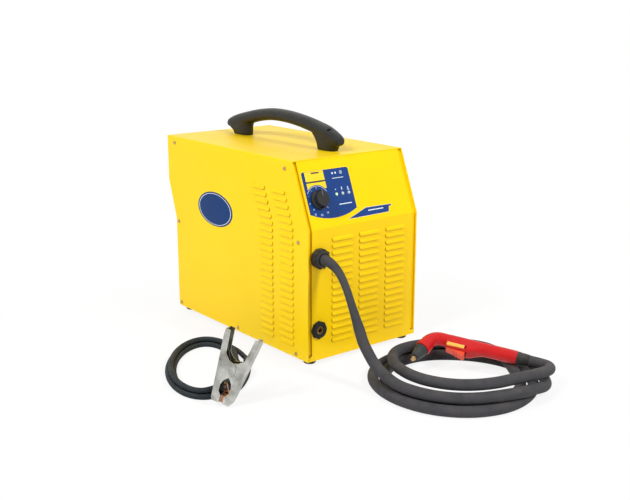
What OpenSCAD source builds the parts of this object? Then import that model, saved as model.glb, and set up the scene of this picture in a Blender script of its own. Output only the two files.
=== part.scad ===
// Plasma cutter unit with a built-in compressor, its torch on a sheathed hose
// and its earth clamp lead. Millimetres. The origin is on the floor, under the
// centre of the lower body. -Y is the control side, +Z is up.

/* [Body] */
// Width over the cover
body_w = 285; // [270:1:320]
// Depth of the body at the floor
body_d = 484; // [460:1:540]
// Height of the body above its feet
body_h = 392; // [385:1:420]
// Sheet metal thickness
sheet_t = 1.5; // [1.2:0.1:2]
// Outside radius of the cover's top bends
bend_r = 3; // [2.5:0.5:6]
// Height at which the front starts to lean back
slope_z = 264; // [262:1:268]
// How far the leaning front goes back
slope_in = 51; // [42:1:60]
// Height at which the rear starts to lean out
rear_bend_z = 206; // [190:1:220]
// Height at which the rear stands upright again
rear_full_z = 292; // [280:1:310]
// How far the rear leans out
rear_out = 28; // [20:1:36]
// Clearance between folded sheets
sheet_gap = 0.3; // [0.2:0.1:0.5]
// How far the cover stands ahead of the end panels
cover_lip = 1; // [0.5:0.1:2]
// Depth of the recessed strips beside the front
strip_depth = 4; // [3:0.5:5]
// Width of the recessed strips
strip_w = 9.5; // [8:0.5:12]
// Height of the return flanges of tray and end panels
flange = 44; // [40:1:50]

/* [Louvres] */
// Distance from one louvre to the next
louvre_pitch = 13.7; // [13:0.1:15]
// Height of a pressed louvre
louvre_h = 7.6; // [6:0.1:9]
// How far a louvre stands out
louvre_out = 2.8; // [2:0.1:3.5]
// Sheet left at a louvre's hood
louvre_skin = 0.9; // [0.7:0.1:1.2]
// Width of a front louvre
front_louvre_w = 53; // [46:1:58]
// Rows of front louvres
front_rows = 16; // [12:1:16]
// Height of the top front louvre above the underside
front_louvre_top = 240; // [232:1:244]
// Width of a side louvre
side_louvre_w = 45; // [38:1:52]
// Rows of side louvres
side_rows = 23; // [18:1:23]
// Height of the top side louvre above the underside
side_louvre_top = 328; // [326:1:336]

/* [Feet and handle] */
// Height of the rubber feet
foot_h = 9; // [8:0.5:14]
// Diameter of a foot at the top
foot_d = 28; // [24:1:32]
// Distance of a foot's centre from the body's sides
foot_inset = 20; // [17:1:30]
// Width of the carrying handle
handle_w = 28; // [24:1:34]
// Highest point of the handle above the body
handle_rise = 69; // [62:1:80]

/* [Controls] */
// Diameter of the current knob
knob_d = 38; // [34:1:42]
// Height of the current knob
knob_h = 16; // [14:0.5:18]
// Knob's place across the panel
knob_x = -99; // [-104:1:-94]
// Knob's place up the leaning panel
knob_s = 56; // [52:1:60]
// Diameter of the knob's shaft
shaft_d = 6; // [5:0.5:7]
// Radial clearance of turning shafts
shaft_gap = 0.05; // [0.02:0.01:0.09]
// Diameter of an indicator lens
lens_d = 5; // [4:0.5:6]
// Thickness of the control overlay
film_t = 0.5; // [0.4:0.1:0.8]

/* [Torch connection and earth socket] */
// Diameter of the hose in its sheath
hose_d = 21; // [20:0.2:21.4]
// Across the gland's nut
gland_d = 40; // [37:1:44]
// How far the gland stands out
gland_out = 18; // [16:1:20]
// Gland's place across the front
gland_x = -116; // [-118:1:-114]
// Gland's height above the underside
gland_z = 208; // [206:1:210]
// Diameter of the earth socket's flange
socket_d = 37; // [34:1:40]
// Diameter of the earth plug's pin
plug_pin_d = 9; // [8.5:0.1:9.5]
// Clearance on the pin's diameter in the socket
plug_gap = 0.2; // [0.1:0.05:0.4]
// Socket's height above the underside
socket_z = 63; // [58:1:68]

/* [Fan] */
// Side of the fan's square frame
fan_side = 120; // [110:1:120]
// Depth of the fan
fan_depth = 38; // [32:1:40]
// Number of fan blades
fan_blades = 7; // [5:1:9]
// Fan's place across the rear
fan_x = 55; // [45:1:60]
// Fan's height above the underside
fan_z = 92; // [86:1:100]

/* [Torch] */
// From the handle's tail to the centre of the bend
torch_l = 168; // [160:1:180]
// From the centre of the bend to the nozzle's tip
torch_head_l = 71; // [66:1:76]
// Angle of the head to the handle
torch_bend = 75; // [70:1:80]
// Thickness of the handle
torch_d = 27; // [25:0.5:30]
// Travel of the trigger
trigger_deg = 8; // [5:1:9]

/* [Earth clamp] */
// Length of the clamp
clamp_l = 132; // [126:1:140]
// Width of a clamp arm
clamp_w = 24; // [20:1:28]
// Thickness of the clamp's steel
clamp_t = 1.6; // [1.4:0.1:2]
// Diameter of the clamp's pin
clamp_pin_d = 6; // [5:0.5:7]
// Diameter of the earth cable
cable_d = 10.4; // [9.6:0.1:10.6]

/* [Hidden] */
$fn = 48;

body_yellow = [0.98, 0.82, 0.06];
side_yellow = [1.0, 0.88, 0.15];
dark_plastic = [0.13, 0.13, 0.14];
rubber_black = [0.07, 0.07, 0.07];
label_blue = [0.1, 0.25, 0.6];
zinc = [0.78, 0.79, 0.8];
steel_grey = [0.6, 0.61, 0.62];
copper_red = [0.75, 0.4, 0.25];
brass_yellow = [0.8, 0.62, 0.3];
torch_red = [0.82, 0.12, 0.12];

z0 = foot_h;
top_z = foot_h + body_h;
front_y = -body_d / 2;
rear_y = body_d / 2;
inner_w = body_w - 2 * sheet_t - 2 * sheet_gap;
inner_top = top_z - sheet_t - sheet_gap;

// ---------- outlines of the folded panels, as seen from the side ----------
front_line = [[front_y, z0], [front_y, z0 + slope_z], [front_y + slope_in, top_z]];
rear_line = [[rear_y, z0], [rear_y, z0 + rear_bend_z],
             [rear_y + rear_out, z0 + rear_full_z], [rear_y + rear_out, top_z]];
slope_a = atan(slope_in / (body_h - slope_z));

function seg_n(a, b) = [b[1] - a[1], a[0] - b[0]] / norm(b - a);
function side_n(p, i) = seg_n(p[i], p[i + 1]);
function miter(a, b) = (a + b) / (1 + a * b);
// A line moved sideways by d, with its corners mitred
function moved(p, d) = [for (i = [0:len(p) - 1])
    let (last = len(p) - 1)
    p[i] + d * (i == 0 ? side_n(p, 0) : i == last ? side_n(p, last - 1)
                : miter(side_n(p, i - 1), side_n(p, i)))];
function turned(p) = [for (i = [len(p) - 1:-1:0]) p[i]];

// A slab that follows a line, between two depths and two x places
module slab(line, d0, d1, x0, x1)
    translate([x0, 0, 0]) rotate([90, 0, 90])
        linear_extrude(x1 - x0) polygon(concat(moved(line, d0), turned(moved(line, d1))));

// Keeps what lies between two heights
module between(za, zb)
    intersection() {
        children();
        translate([-body_w, -body_d, za]) cube([2 * body_w, 2 * body_d, zb - za]);
    }

// Puts children on the leaning front: X across, Y up the slope, Z outwards
module on_slope(x, s)
    translate([x, front_y, z0 + slope_z]) rotate([90 - slope_a, 0, 0])
        translate([0, s, 0]) children();
// Puts children on the upright front: X across, Y up, Z outwards
module on_front(x, z)
    translate([x, front_y, z0 + z]) rotate([90, 0, 0]) children();
// Puts children on the lower or upper rear face, Z outwards
module on_rear(x, z, out = 0)
    translate([x, rear_y + out, z0 + z]) rotate([-90, 0, 0]) children();

// ---------- louvres ----------
module pill(w, h) {
    square([w - h, h], center = true);
    for (s = [-1, 1])
        translate([s * (w - h) / 2, 0]) circle(d = h);
}
// Wedge that leans out from its top edge to its lip
module wedge(w, h, out)
    rotate([0, 90, 0]) rotate([0, 0, 90])
        linear_extrude(w, center = true)
            polygon([[h / 2, 0], [h / 6, out * 0.62], [-h / 2 + 0.6, out], [-h / 2, out], [-h / 2, 0]]);
// Hood of one louvre on the plane z = 0, opening downwards
module hood(w)
    intersection() {
        linear_extrude(louvre_out + 1) pill(w, louvre_h);
        wedge(w, louvre_h, louvre_out);
    }
// Air space of one louvre, through the sheet and out under the lip
module hood_air(w)
    intersection() {
        translate([0, -1, -2 * sheet_t])
            linear_extrude(2 * sheet_t + louvre_out + 2)
                pill(w - 2 * louvre_skin, louvre_h - 2 * louvre_skin + 2);
        translate([0, -louvre_skin, -louvre_skin]) {
            wedge(w, louvre_h + 0.2, louvre_out);
            translate([0, 0, -sheet_t]) cube([w, louvre_h, 2 * sheet_t + 0.2], center = true);
        }
    }
front_cols = [-56, 13.5, 83.5];
module front_louvres()
    for (x = front_cols)
        for (i = [0:front_rows - 1])
            on_front(x, front_louvre_top - i * louvre_pitch) children();
// Side columns: distances of their centres from the front face
side_cols = [67.5, 134.5];
function lean(z) = z > slope_z ? slope_in * (z - slope_z) / (body_h - slope_z) : 0;
module side_louvres(side)
    for (c = side_cols)
        for (i = [0:side_rows - 1])
            let (z = side_louvre_top - i * louvre_pitch)
                translate([side * body_w / 2, front_y + c + lean(z), z0 + z])
                    rotate([90, 0, side * 90]) children();

// ---------- screw places ----------
// Cover screws on each side: [y, height above the underside]
front_screws = [[front_y + 29, slope_z - 27], [front_y + slope_in + 20, body_h - 17], [front_y + 37, 8]];
tray_screws = [[0, 8]];
rear_screws = [[rear_y + rear_out - 30, body_h - 14], [rear_y - 10, 200], [rear_y - 10, 8]];
screw_d = 4;
module side_at(list)
    for (side = [-1, 1])
        for (p = list)
            translate([side * body_w / 2, p[0], z0 + p[1]]) rotate([0, side * 90, 0]) children();
module side_holes(list)
    side_at(list) translate([0, 0, -12]) cylinder(d = screw_d + 0.4, h = 14);
// Handle screws: distances along Y
handle_screw_y = [-150, -116, 150, 192];
handle_screw_d = 6;

// ---------- sheet metal ----------
module base_tray() color(body_yellow)
    difference() {
        translate([-inner_w / 2, front_y + strip_depth + 2 * sheet_t, z0])
            cube([inner_w, body_d - strip_depth - 3 * sheet_t, 24]);
        translate([-inner_w / 2 + sheet_t, front_y + strip_depth + 3 * sheet_t, z0 + sheet_t])
            cube([inner_w - 2 * sheet_t, body_d - strip_depth - 5 * sheet_t, 24]);
        side_holes(tray_screws);
        for (p = [front_screws[2], rear_screws[2]]) side_holes([p]);
        foot_places() translate([0, 0, -1]) cylinder(d = foot_screw_d + 0.4, h = 5);
    }

// Outline of the recessed strips, seen from the front
module strip_window(grow)
    for (side = [-1, 1])
        let (x_in = inner_w / 2 - strip_w - grow, z_in = z0 + 9 - grow, r = 5 + grow)
            rotate([90, 0, 0]) linear_extrude(body_d, center = false)
                mirror([side < 0 ? 1 : 0, 0]) {
                    translate([x_in + r, z_in]) square([strip_w + 6 - r, body_h + 20]);
                    translate([x_in, z_in + r]) square([strip_w, body_h + 20]);
                    translate([x_in + r, z_in + r]) circle(r);
                }
module front_panel() color(body_yellow)
    difference() {
        union() {
            between(z0, inner_top) {
                difference() {
                    slab(front_line, 0, sheet_t, -inner_w / 2, inner_w / 2);
                    strip_window(0);
                }
            }
            between(z0 + 2, inner_top) intersection() {
                slab(front_line, strip_depth, strip_depth + sheet_t, -inner_w / 2, inner_w / 2);
                strip_window(sheet_t);
            }
            between(z0 + 2, inner_top) intersection() {
                slab(front_line, 0, strip_depth + sheet_t, -inner_w / 2, inner_w / 2);
                difference() {
                    strip_window(sheet_t);
                    strip_window(0);
                }
            }
            // return flanges along the sides, under the top and under the tray's edge
            between(z0 + 26, inner_top)
                for (side = [-1, 1])
                    slab(front_line, strip_depth, flange + strip_depth,
                         side * (inner_w / 2 - sheet_t / 2) - sheet_t / 2,
                         side * (inner_w / 2 - sheet_t / 2) + sheet_t / 2);
            between(inner_top - sheet_t, inner_top)
                slab(front_line, 0.4, 20, -inner_w / 2, inner_w / 2);
            between(z0, z0 + sheet_t)
                slab(front_line, 0.4, strip_depth + 2 * sheet_t, -inner_w / 2, inner_w / 2);
            front_louvres() hood(front_louvre_w);
        }
        front_louvres() hood_air(front_louvre_w);
        side_holes([front_screws[0], front_screws[1]]);
        on_front(gland_x, gland_z) through(gland_thread_d + 0.4);
        on_front(gland_x, socket_z) through(socket_thread_d + 0.4);
        on_slope(knob_x, knob_s) through(bush_d + 0.4);
        for (p = lens_places) on_slope(p[0], p[1]) through(lens_d + 0.4);
    }
module through(d) translate([0, 0, -6]) cylinder(d = d, h = 12);

switch_w = 22;
switch_l = 30;
switch_x = -72;
switch_z = body_h - 54;
mains_gland_x = -85;
mains_gland_z = 60;
mains_thread_d = 20;
mains_bore_d = 10;
module rear_panel() color(body_yellow)
    difference() {
        union() {
            between(z0, inner_top) slab(rear_line, -sheet_t, 0, -inner_w / 2, inner_w / 2);
            between(z0 + 26, inner_top)
                for (side = [-1, 1])
                    slab(rear_line, -flange, -sheet_t / 2,
                         side * (inner_w / 2 - sheet_t / 2) - sheet_t / 2,
                         side * (inner_w / 2 - sheet_t / 2) + sheet_t / 2);
            between(inner_top - sheet_t, inner_top)
                slab(rear_line, -20, -0.4, -inner_w / 2, inner_w / 2);
        }
        side_holes([rear_screws[0], rear_screws[1]]);
        on_rear(fan_x, fan_z) through(fan_side - 6);
        on_rear(fan_x, fan_z) fan_corners() through(fan_screw_d + 0.4);
        on_rear(mains_gland_x, mains_gland_z) through(mains_thread_d + 0.4);
        on_rear(switch_x, switch_z, rear_out) cube([switch_w, switch_l, 12], center = true);
    }

// Outline of the cover's bent sheet, as seen from the front
module bent_top(w, h, r) {
    translate([-w / 2, z0 - 1]) square([w, h + 1 - r]);
    translate([-w / 2 + r, z0 - 1]) square([w - 2 * r, h + 1]);
    for (s = [-1, 1])
        translate([s * (w / 2 - r), z0 + h - r]) circle(r);
}
module cover() color(side_yellow)
    difference() {
        union() {
            intersection() {
                rotate([90, 0, 0]) linear_extrude(2 * body_d, center = true)
                    difference() {
                        bent_top(body_w, body_h, bend_r);
                        bent_top(body_w - 2 * sheet_t, body_h - sheet_t, 2 * sheet_gap);
                    }
                translate([-body_w, 0, 0]) rotate([90, 0, 90]) linear_extrude(2 * body_w)
                    polygon(concat(moved(front_line, -cover_lip), turned(moved(rear_line, cover_lip))));
            }
            side_louvres(-1) hood(side_louvre_w);
            side_louvres(1) hood(side_louvre_w);
        }
        side_louvres(-1) hood_air(side_louvre_w);
        side_louvres(1) hood_air(side_louvre_w);
        side_holes(concat(front_screws, tray_screws, rear_screws));
        for (y = handle_screw_y)
            translate([0, y, top_z - 5]) cylinder(d = handle_screw_d + 0.4, h = 8);
    }

// Pan head with a cross recess, on the plane z = 0
module pan_head(d, h, shank_d, shank_l) {
    difference() {
        rotate_extrude() {
            square([d / 2 - h * 0.45, h]);
            square([d / 2, h * 0.55]);
            translate([d / 2 - h * 0.45, h * 0.55]) circle(h * 0.45);
        }
        for (a = [0, 90])
            rotate([0, 0, a]) translate([0, 0, h]) cube([d * 0.55, d * 0.13, h], center = true);
    }
    translate([0, 0, -shank_l]) cylinder(d = shank_d, h = shank_l);
}
module cover_screws() color(zinc)
    side_at(concat(front_screws, tray_screws, rear_screws)) pan_head(8, 2.2, screw_d, 9);

// ---------- carrying handle ----------
// Stations of the grip: [y, height above the body, half width share, half height]
grip = [[-176, 21, 0.62, 5], [-173, 21.5, 0.86, 8.5], [-163, 25, 0.95, 11.5], [-148, 30, 1, 12.5],
        [-126, 36.5, 1, 12.5], [-96, 43.5, 1, 12], [-60, 50, 1, 11.7], [-20, 55, 1, 11.5],
        [20, 57.5, 1, 11.5], [60, 57, 1, 11.5], [95, 53, 1, 11.7], [125, 47.5, 1, 12.2],
        [155, 40.5, 1, 13], [185, 33.5, 1, 13], [212, 27.5, 0.96, 12], [230, 23, 0.88, 9.5],
        [238, 21, 0.64, 6]];
grip_k = handle_rise / 69;
function superellipse(a, rx, rz) =
    let (c = cos(a), s = sin(a))
    [rx * sign(c) * pow(abs(c), 0.8), rz * sign(s) * pow(abs(s), 0.8)];
grip_sides = 20;
function grip_ring(i) =
    let (g = grip[i], a = grip[max(i - 1, 0)], b = grip[min(i + 1, len(grip) - 1)],
         t = atan2((b[1] - a[1]) * grip_k, b[0] - a[0]))
    [for (k = [0:grip_sides - 1])
        let (p = superellipse(360 * k / grip_sides, g[2] * handle_w / 2, g[3]))
        [p[0], g[0] - p[1] * sin(t) * 0.6, top_z + g[1] * grip_k + p[1] * cos(t)]];
// Faces of a skin over equal rings, closed at both ends
function skin_faces(rings, n) = concat(
    [[for (k = [n - 1:-1:0]) k]],
    [for (i = [0:rings - 2], k = [0:n - 1])
        let (a = i * n + k, b = i * n + (k + 1) % n) [a, b, b + n]],
    [for (i = [0:rings - 2], k = [0:n - 1])
        let (a = i * n + k, b = i * n + (k + 1) % n) [a, b + n, a + n]],
    [[for (k = [0:n - 1]) (rings - 1) * n + k]]);
module skin(rings) {
    n = len(rings[0]);
    polyhedron([for (r = rings) for (p = r) p], skin_faces(len(rings), n), convexity = 6);
}
module round_pad(y0, y1, w, z, h)
    translate([0, (y0 + y1) / 2, z]) linear_extrude(h) {
        square([w - 12, y1 - y0], center = true);
        square([w, y1 - y0 - 12], center = true);
        for (u = [-1, 1], v = [-1, 1])
            translate([u * (w / 2 - 6), v * ((y1 - y0) / 2 - 6)]) circle(6, $fn = 24);
    }
module handle_foot(y0, y1, y2, y3)
    hull() {
        round_pad(y0, y1, handle_w, top_z, 3);
        round_pad(y2, y3, handle_w - 3, top_z + 22 * grip_k, 4);
    }
module carry_handle() color(dark_plastic)
    difference() {
        union() {
            skin([for (i = [0:len(grip) - 1]) grip_ring(i)]);
            handle_foot(-171, -101, -172, -98);
            handle_foot(129, 211, 126, 226);
        }
        for (y = handle_screw_y)
            translate([0, y, top_z - 1]) cylinder(d = handle_screw_d, h = 15);
    }
module handle_screws() color(zinc)
    for (y = handle_screw_y)
        translate([0, y, top_z - sheet_t]) rotate([180, 0, 0]) pan_head(11, 3, handle_screw_d, 12);

// ---------- feet ----------
foot_screw_d = 5;
foot_x = body_w / 2 - foot_inset;
foot_y = body_d / 2 - foot_inset;
module foot_places()
    for (sx = [-1, 1], sy = [-1, 1])
        translate([sx * foot_x, sy * foot_y, z0]) children();
module feet() color(rubber_black)
    foot_places() rotate_extrude()
        polygon([[foot_screw_d / 2 + 0.2, -foot_h + 4], [6.5, -foot_h + 4], [6.5, -foot_h],
                 [foot_d / 2 - 3, -foot_h], [foot_d / 2 - 2, -foot_h + 1], [foot_d / 2, 0],
                 [foot_screw_d / 2 + 0.2, 0]]);
module foot_screws() color(zinc)
    foot_places() translate([0, 0, -foot_h + 4]) rotate([180, 0, 0])
        pan_head(10, 2.6, foot_screw_d, 13);

// ---------- control panel ----------
bush_d = 9.6;
lens_places = [[-53, 62], [-37.5, 62], [-22, 62]];
label_x0 = -127;
label_x1 = -11;
label_s0 = 30;
label_s1 = 113;
label_r = 5;
label_sag = 13;
// Outline of the control overlay: round upper corners, bowed lower edge
module overlay_outline() {
    mid = (label_x0 + label_x1) / 2;
    half = (label_x1 - label_x0) / 2;
    bow_r = (half * half + label_sag * label_sag) / (2 * label_sag);
    translate([label_x0, label_s0]) square([2 * half, label_s1 - label_r - label_s0]);
    translate([label_x0 + label_r, label_s0]) square([2 * (half - label_r), label_s1 - label_s0]);
    for (x = [label_x0 + label_r, label_x1 - label_r])
        translate([x, label_s1 - label_r]) circle(label_r);
    intersection() {
        translate([mid, label_s0 + bow_r - label_sag]) circle(bow_r, $fn = 96);
        translate([label_x0, label_s0 - label_sag]) square([2 * half, label_sag + 1]);
    }
}
module control_overlay() color(label_blue)
    difference() {
        on_slope(0, 0) linear_extrude(film_t) overlay_outline();
        on_slope(knob_x, knob_s) through(bush_d + 0.4);
        for (p = lens_places) on_slope(p[0], p[1]) through(lens_d + 0.4);
    }
module indicator_lenses() color([0.85, 0.9, 0.85])
    for (p = lens_places) on_slope(p[0], p[1])
        rotate_extrude() {
            translate([0, -3]) square([lens_d / 2 + 1, 3 - sheet_t - 0.05]);
            translate([0, -3]) square([lens_d / 2, 3.6]);
            translate([0, 0.6]) intersection() {
                circle(lens_d / 2);
                square(lens_d);
            }
        }
// Oval badge on the side panel
badge_y = front_y + 322;
badge_z = 253;
badge_w = 134;
badge_h = 74;
module side_badge() color(label_blue)
    translate([-body_w / 2 - film_t, badge_y, z0 + badge_z]) rotate([90, 0, 90])
        linear_extrude(film_t)
            polygon([for (k = [0:71]) [badge_w / 2 * cos(5 * k), badge_h / 2 * sin(5 * k)]]);

nut_h = 2;
knob_base = film_t + 0.6;
module knob() color(dark_plastic)
    on_slope(knob_x, knob_s) {
        difference() {
            union() {
                translate([0, 0, knob_base]) cylinder(d = knob_d, h = 2.2);
                translate([0, 0, knob_base + 2.2])
                    cylinder(d1 = knob_d - 2, d2 = knob_d - 8, h = 3);
                translate([0, 0, knob_base + 5.2]) cylinder(d = knob_d - 8, h = knob_h - 6.2);
                translate([0, 0, knob_base + knob_h - 1])
                    cylinder(d1 = knob_d - 8, d2 = knob_d - 10, h = 1);
                translate([0, 0, knob_base + 3])
                    intersection() {
                        cylinder(d = knob_d - 3, h = knob_h - 3);
                        translate([-5, -knob_d / 2, 0]) cube([10, knob_d, knob_h - 3]);
                    }
            }
            // finger scoops round the barrel
            for (k = [0:11])
                rotate([0, 0, 15 + 30 * k]) translate([knob_d / 2 - 2.2, 0, knob_base + 5.2])
                    cylinder(d = 5, h = knob_h);
            translate([-0.8, 4, knob_base + knob_h - 0.8]) cube([1.6, knob_d / 2, 2]);
            translate([0, 0, knob_base - 1]) cylinder(d = 18, h = nut_h + 1.6);
        }
        // shaft
        translate([0, 0, -14]) cylinder(d = shaft_d, h = knob_base + 20);
    }
module knob_pot() color(zinc)
    on_slope(knob_x, knob_s)
        difference() {
            union() {
                translate([0, 0, -sheet_t - 12]) cylinder(d = 24, h = 12);
                translate([0, 0, -sheet_t - 1]) cylinder(d = bush_d, h = sheet_t + film_t + nut_h + 1);
                translate([0, 0, film_t]) cylinder(d = 14, h = nut_h, $fn = 6);
            }
            translate([0, 0, -sheet_t - 13]) cylinder(d = shaft_d + 2 * shaft_gap, h = 30);
        }
module control_board() color([0.1, 0.35, 0.2]) {
    on_slope(0, 0) difference() {
        translate([-68, 34, -sheet_t - 11.6]) cube([58, 62, 1.6]);
        translate([-44, 84, -20]) cylinder(d = 3.4, h = 20);
    }
    // spacers down to the panel and legs of the indicators
    for (p = [[-64, 38], [-14, 38], [-64, 92], [-14, 92]])
        on_slope(p[0], p[1]) translate([0, 0, -sheet_t - 10]) cylinder(d = 6, h = 10);
    for (p = lens_places)
        on_slope(p[0], p[1]) translate([0, 0, -sheet_t - 10]) cylinder(d = 3, h = 10 + sheet_t - 3);
}

// ---------- torch gland and earth socket ----------
gland_thread_d = 26;
// Lock nuts behind the front, flats towards the recessed strip
lock_nut_d = 31;
module lock_nut(h) translate([0, 0, -sheet_t - h]) rotate([0, 0, 30]) cylinder(d = lock_nut_d, h = h, $fn = 6);
socket_thread_d = 24;
gland_seat = 8;
hose_gap = 0.5;
module gland_body() color(dark_plastic)
    on_front(gland_x, gland_z)
        difference() {
            union() {
                cylinder(d = gland_d, h = 5, $fn = 10);
                translate([0, 0, -sheet_t - 9]) cylinder(d = gland_thread_d, h = 9 + sheet_t + gland_seat);
                lock_nut(6);
            }
            translate([0, 0, -20]) cylinder(d = hose_d - 5, h = 40);
        }
module gland_nut() color(dark_plastic)
    on_front(gland_x, gland_z)
        difference() {
            union() {
                translate([0, 0, 5]) cylinder(d = gland_d - 1, h = 7, $fn = 10);
                translate([0, 0, 12]) cylinder(d1 = gland_d - 5, d2 = gland_d - 12, h = gland_out - 12);
                // gripping ribs
                for (k = [0:9])
                    rotate([0, 0, 36 * k]) translate([gland_d / 2 - 2.6, -1.5, 5]) cube([2.4, 3, 8.5]);
            }
            translate([0, 0, 4]) cylinder(d = gland_thread_d + 0.2, h = gland_seat - 3);
            translate([0, 0, 4]) cylinder(d = hose_d + 2 * hose_gap, h = 20);
        }
socket_out = 7;
socket_flange = 4;
socket_back = 23.5;
contact_d = 14;
contact_l = 28;
module earth_socket() color(dark_plastic)
    on_front(gland_x, socket_z)
        difference() {
            union() {
                cylinder(d = socket_d, h = socket_flange, $fn = 8);
                cylinder(d = socket_d - 6, h = socket_out);
                translate([0, 0, -socket_back]) cylinder(d = socket_thread_d, h = socket_back + 1);
                lock_nut(5);
            }
            translate([0, 0, -socket_back - 1]) cylinder(d = contact_d, h = socket_back + 10);
            translate([0, 0, -socket_back - 1]) cylinder(d = contact_d + 3.5, h = 8);
            translate([0, 0, socket_flange]) cylinder(d = contact_d + 3.5, h = 10);
        }
module socket_contact() color(brass_yellow)
    on_front(gland_x, socket_z)
        difference() {
            union() {
                translate([0, 0, -contact_l]) cylinder(d = contact_d, h = contact_l + socket_flange);
                translate([0, 0, socket_flange]) cylinder(d = contact_d + 2, h = 1.8);
            }
            translate([0, 0, -16]) cylinder(d = plug_pin_d + plug_gap, h = 30);
            // groove for the plug's key
            translate([-1.5, 0, -16]) cube([3, plug_pin_d / 2 + 1.6, 30]);
        }

// ---------- inside the housing ----------
module divider_plate() color(zinc)
    difference() {
        union() {
            translate([-8, -195, z0 + sheet_t]) cube([sheet_t, 375, 225]);
            translate([-8, -195, z0 + sheet_t]) cube([14, 375, sheet_t]);
        }
        translate([-20, 120, z0 + 130]) rotate([0, 90, 0]) cylinder(d = 60, h = 30);
        for (y = [-150, -110, -70])
            translate([-20, y, z0 + 190]) rotate([0, 90, 0]) cylinder(d = 20, h = 30);
    }
sink_z = z0 + 150;
module heat_sink() color([0.55, 0.56, 0.58]) {
    translate([-8 + sheet_t, -150, sink_z]) cube([8, 180, 70]);
    for (i = [0:9])
        translate([0, -150, sink_z + 3 + 6.6 * i]) cube([34, 180, 2]);
}
module power_board() color([0.1, 0.35, 0.2])
    difference() {
        union() {
            translate([42, -150, sink_z - 2]) cube([1.6, 180, 76]);
            // stand-offs between the board and the heat sink
            for (y = [-146, 22], z = [12, 52])
                translate([34, y, sink_z + z]) rotate([0, 90, 0]) cylinder(d = 6, h = 9);
        }
        for (y = [-140, 15])
            translate([40, y, sink_z + 35]) rotate([0, 90, 0]) cylinder(d = 3.4, h = 6);
    }
module capacitors() color([0.12, 0.14, 0.3]) {
    for (y = [-120, -80, -40])
        translate([43.6, y, sink_z + 34]) rotate([0, 90, 0]) {
            cylinder(d = 32, h = 40);
            translate([0, 0, 40]) cylinder(d1 = 32, d2 = 29, h = 1.5);
        }
}
core_y = -110;
module transformer_core() color(steel_grey)
    difference() {
        translate([20, core_y - 45, z0 + sheet_t]) cube([80, 90, 96]);
        for (s = [-1, 1])
            translate([19, core_y + s * 26 - 12, z0 + sheet_t + 20]) cube([82, 24, 56]);
    }
module transformer_winding() color(copper_red)
    difference() {
        translate([14, core_y - 37.8, z0 + sheet_t + 20.2]) cube([92, 75.6, 55.6]);
        translate([19.8, core_y - 14.2, z0 + sheet_t]) cube([80.4, 28.4, 100]);
    }
comp_x = -72;
comp_y = -30;
comp_z = z0 + 78;
module compressor_motor() color(dark_plastic) {
    translate([comp_x, comp_y, comp_z]) rotate([90, 0, 0]) {
        translate([0, 0, -60]) cylinder(d = 92, h = 120);
        translate([0, 0, 60]) cylinder(d1 = 92, d2 = 70, h = 12);
        translate([0, 0, -70]) cylinder(d = 80, h = 10);
    }
    // foot plate
    for (y = [-48, 40])
        translate([comp_x - 40, comp_y + y, comp_z - 50]) cube([80, 8, 20]);
    translate([comp_x - 45, comp_y - 55, comp_z - 54]) cube([90, 110, 4]);
}
module compressor_head() color([0.66, 0.67, 0.69])
    translate([comp_x, comp_y + 106, comp_z]) {
        translate([-26, -36, -38]) cube([52, 62, 50]);
        for (i = [0:5])
            translate([-36, -36, 14 + 7 * i]) cube([72, 72, 2.5]);
        cylinder(d = 46, h = 62);
        translate([-30, -30, 56]) cube([60, 60, 12]);
        translate([20, 0, 62]) rotate([0, 90, 0]) cylinder(d = 12, h = 24);
    }
module compressor_mounts() color(rubber_black)
    for (sx = [-1, 1], sy = [-1, 1])
        translate([comp_x + sx * 36, comp_y + sy * 46, z0 + sheet_t])
            cylinder(d = 18, h = comp_z - 54 - z0 - sheet_t);

// ---------- fan ----------
fan_screw_d = 4;
fan_hub_d = 44;
axle_d = 5;
module fan_corners()
    for (sx = [-1, 1], sy = [-1, 1])
        translate([sx * (fan_side / 2 - 7.5), sy * (fan_side / 2 - 7.5), 0]) children();
module on_fan() on_rear(fan_x, fan_z) translate([0, 0, -sheet_t - fan_depth]) children();
module fan_frame() color(dark_plastic)
    on_fan() {
        difference() {
            translate([-fan_side / 2, -fan_side / 2, 0]) cube([fan_side, fan_side, fan_depth]);
            translate([0, 0, -1]) cylinder(d = fan_side - 6, h = fan_depth + 2);
            fan_corners() translate([0, 0, -1]) cylinder(d = fan_screw_d, h = fan_depth + 2);
        }
        difference() {
            union() {
                cylinder(d = fan_hub_d, h = 6);
                cylinder(d = 12, h = 24);
                for (k = [0:3])
                    rotate([0, 0, 45 + 90 * k]) translate([fan_hub_d / 2 - 2, -3, 0])
                        cube([(fan_side - 6) / 2 - fan_hub_d / 2 + 4, 6, 5]);
            }
            translate([0, 0, 3]) cylinder(d = axle_d + 2 * shaft_gap, h = 30);
        }
    }
module fan_rotor() color([0.2, 0.2, 0.21])
    on_fan() {
        difference() {
            translate([0, 0, 8]) cylinder(d = fan_hub_d, h = fan_depth - 11);
            translate([0, 0, 7]) cylinder(d = fan_hub_d - 5, h = fan_depth - 13);
        }
        translate([0, 0, 4]) cylinder(d = axle_d, h = fan_depth - 8);
        for (k = [0:fan_blades - 1])
            rotate([0, 0, 360 * k / fan_blades]) translate([0, 0, fan_depth / 2 + 2.5]) rotate([38, 0, 0])
                translate([fan_hub_d / 2 - 5, -14, -1]) cube([fan_side / 2 - 7 - fan_hub_d / 2 + 5, 28, 2]);
    }
wire_d = 2.6;
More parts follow.
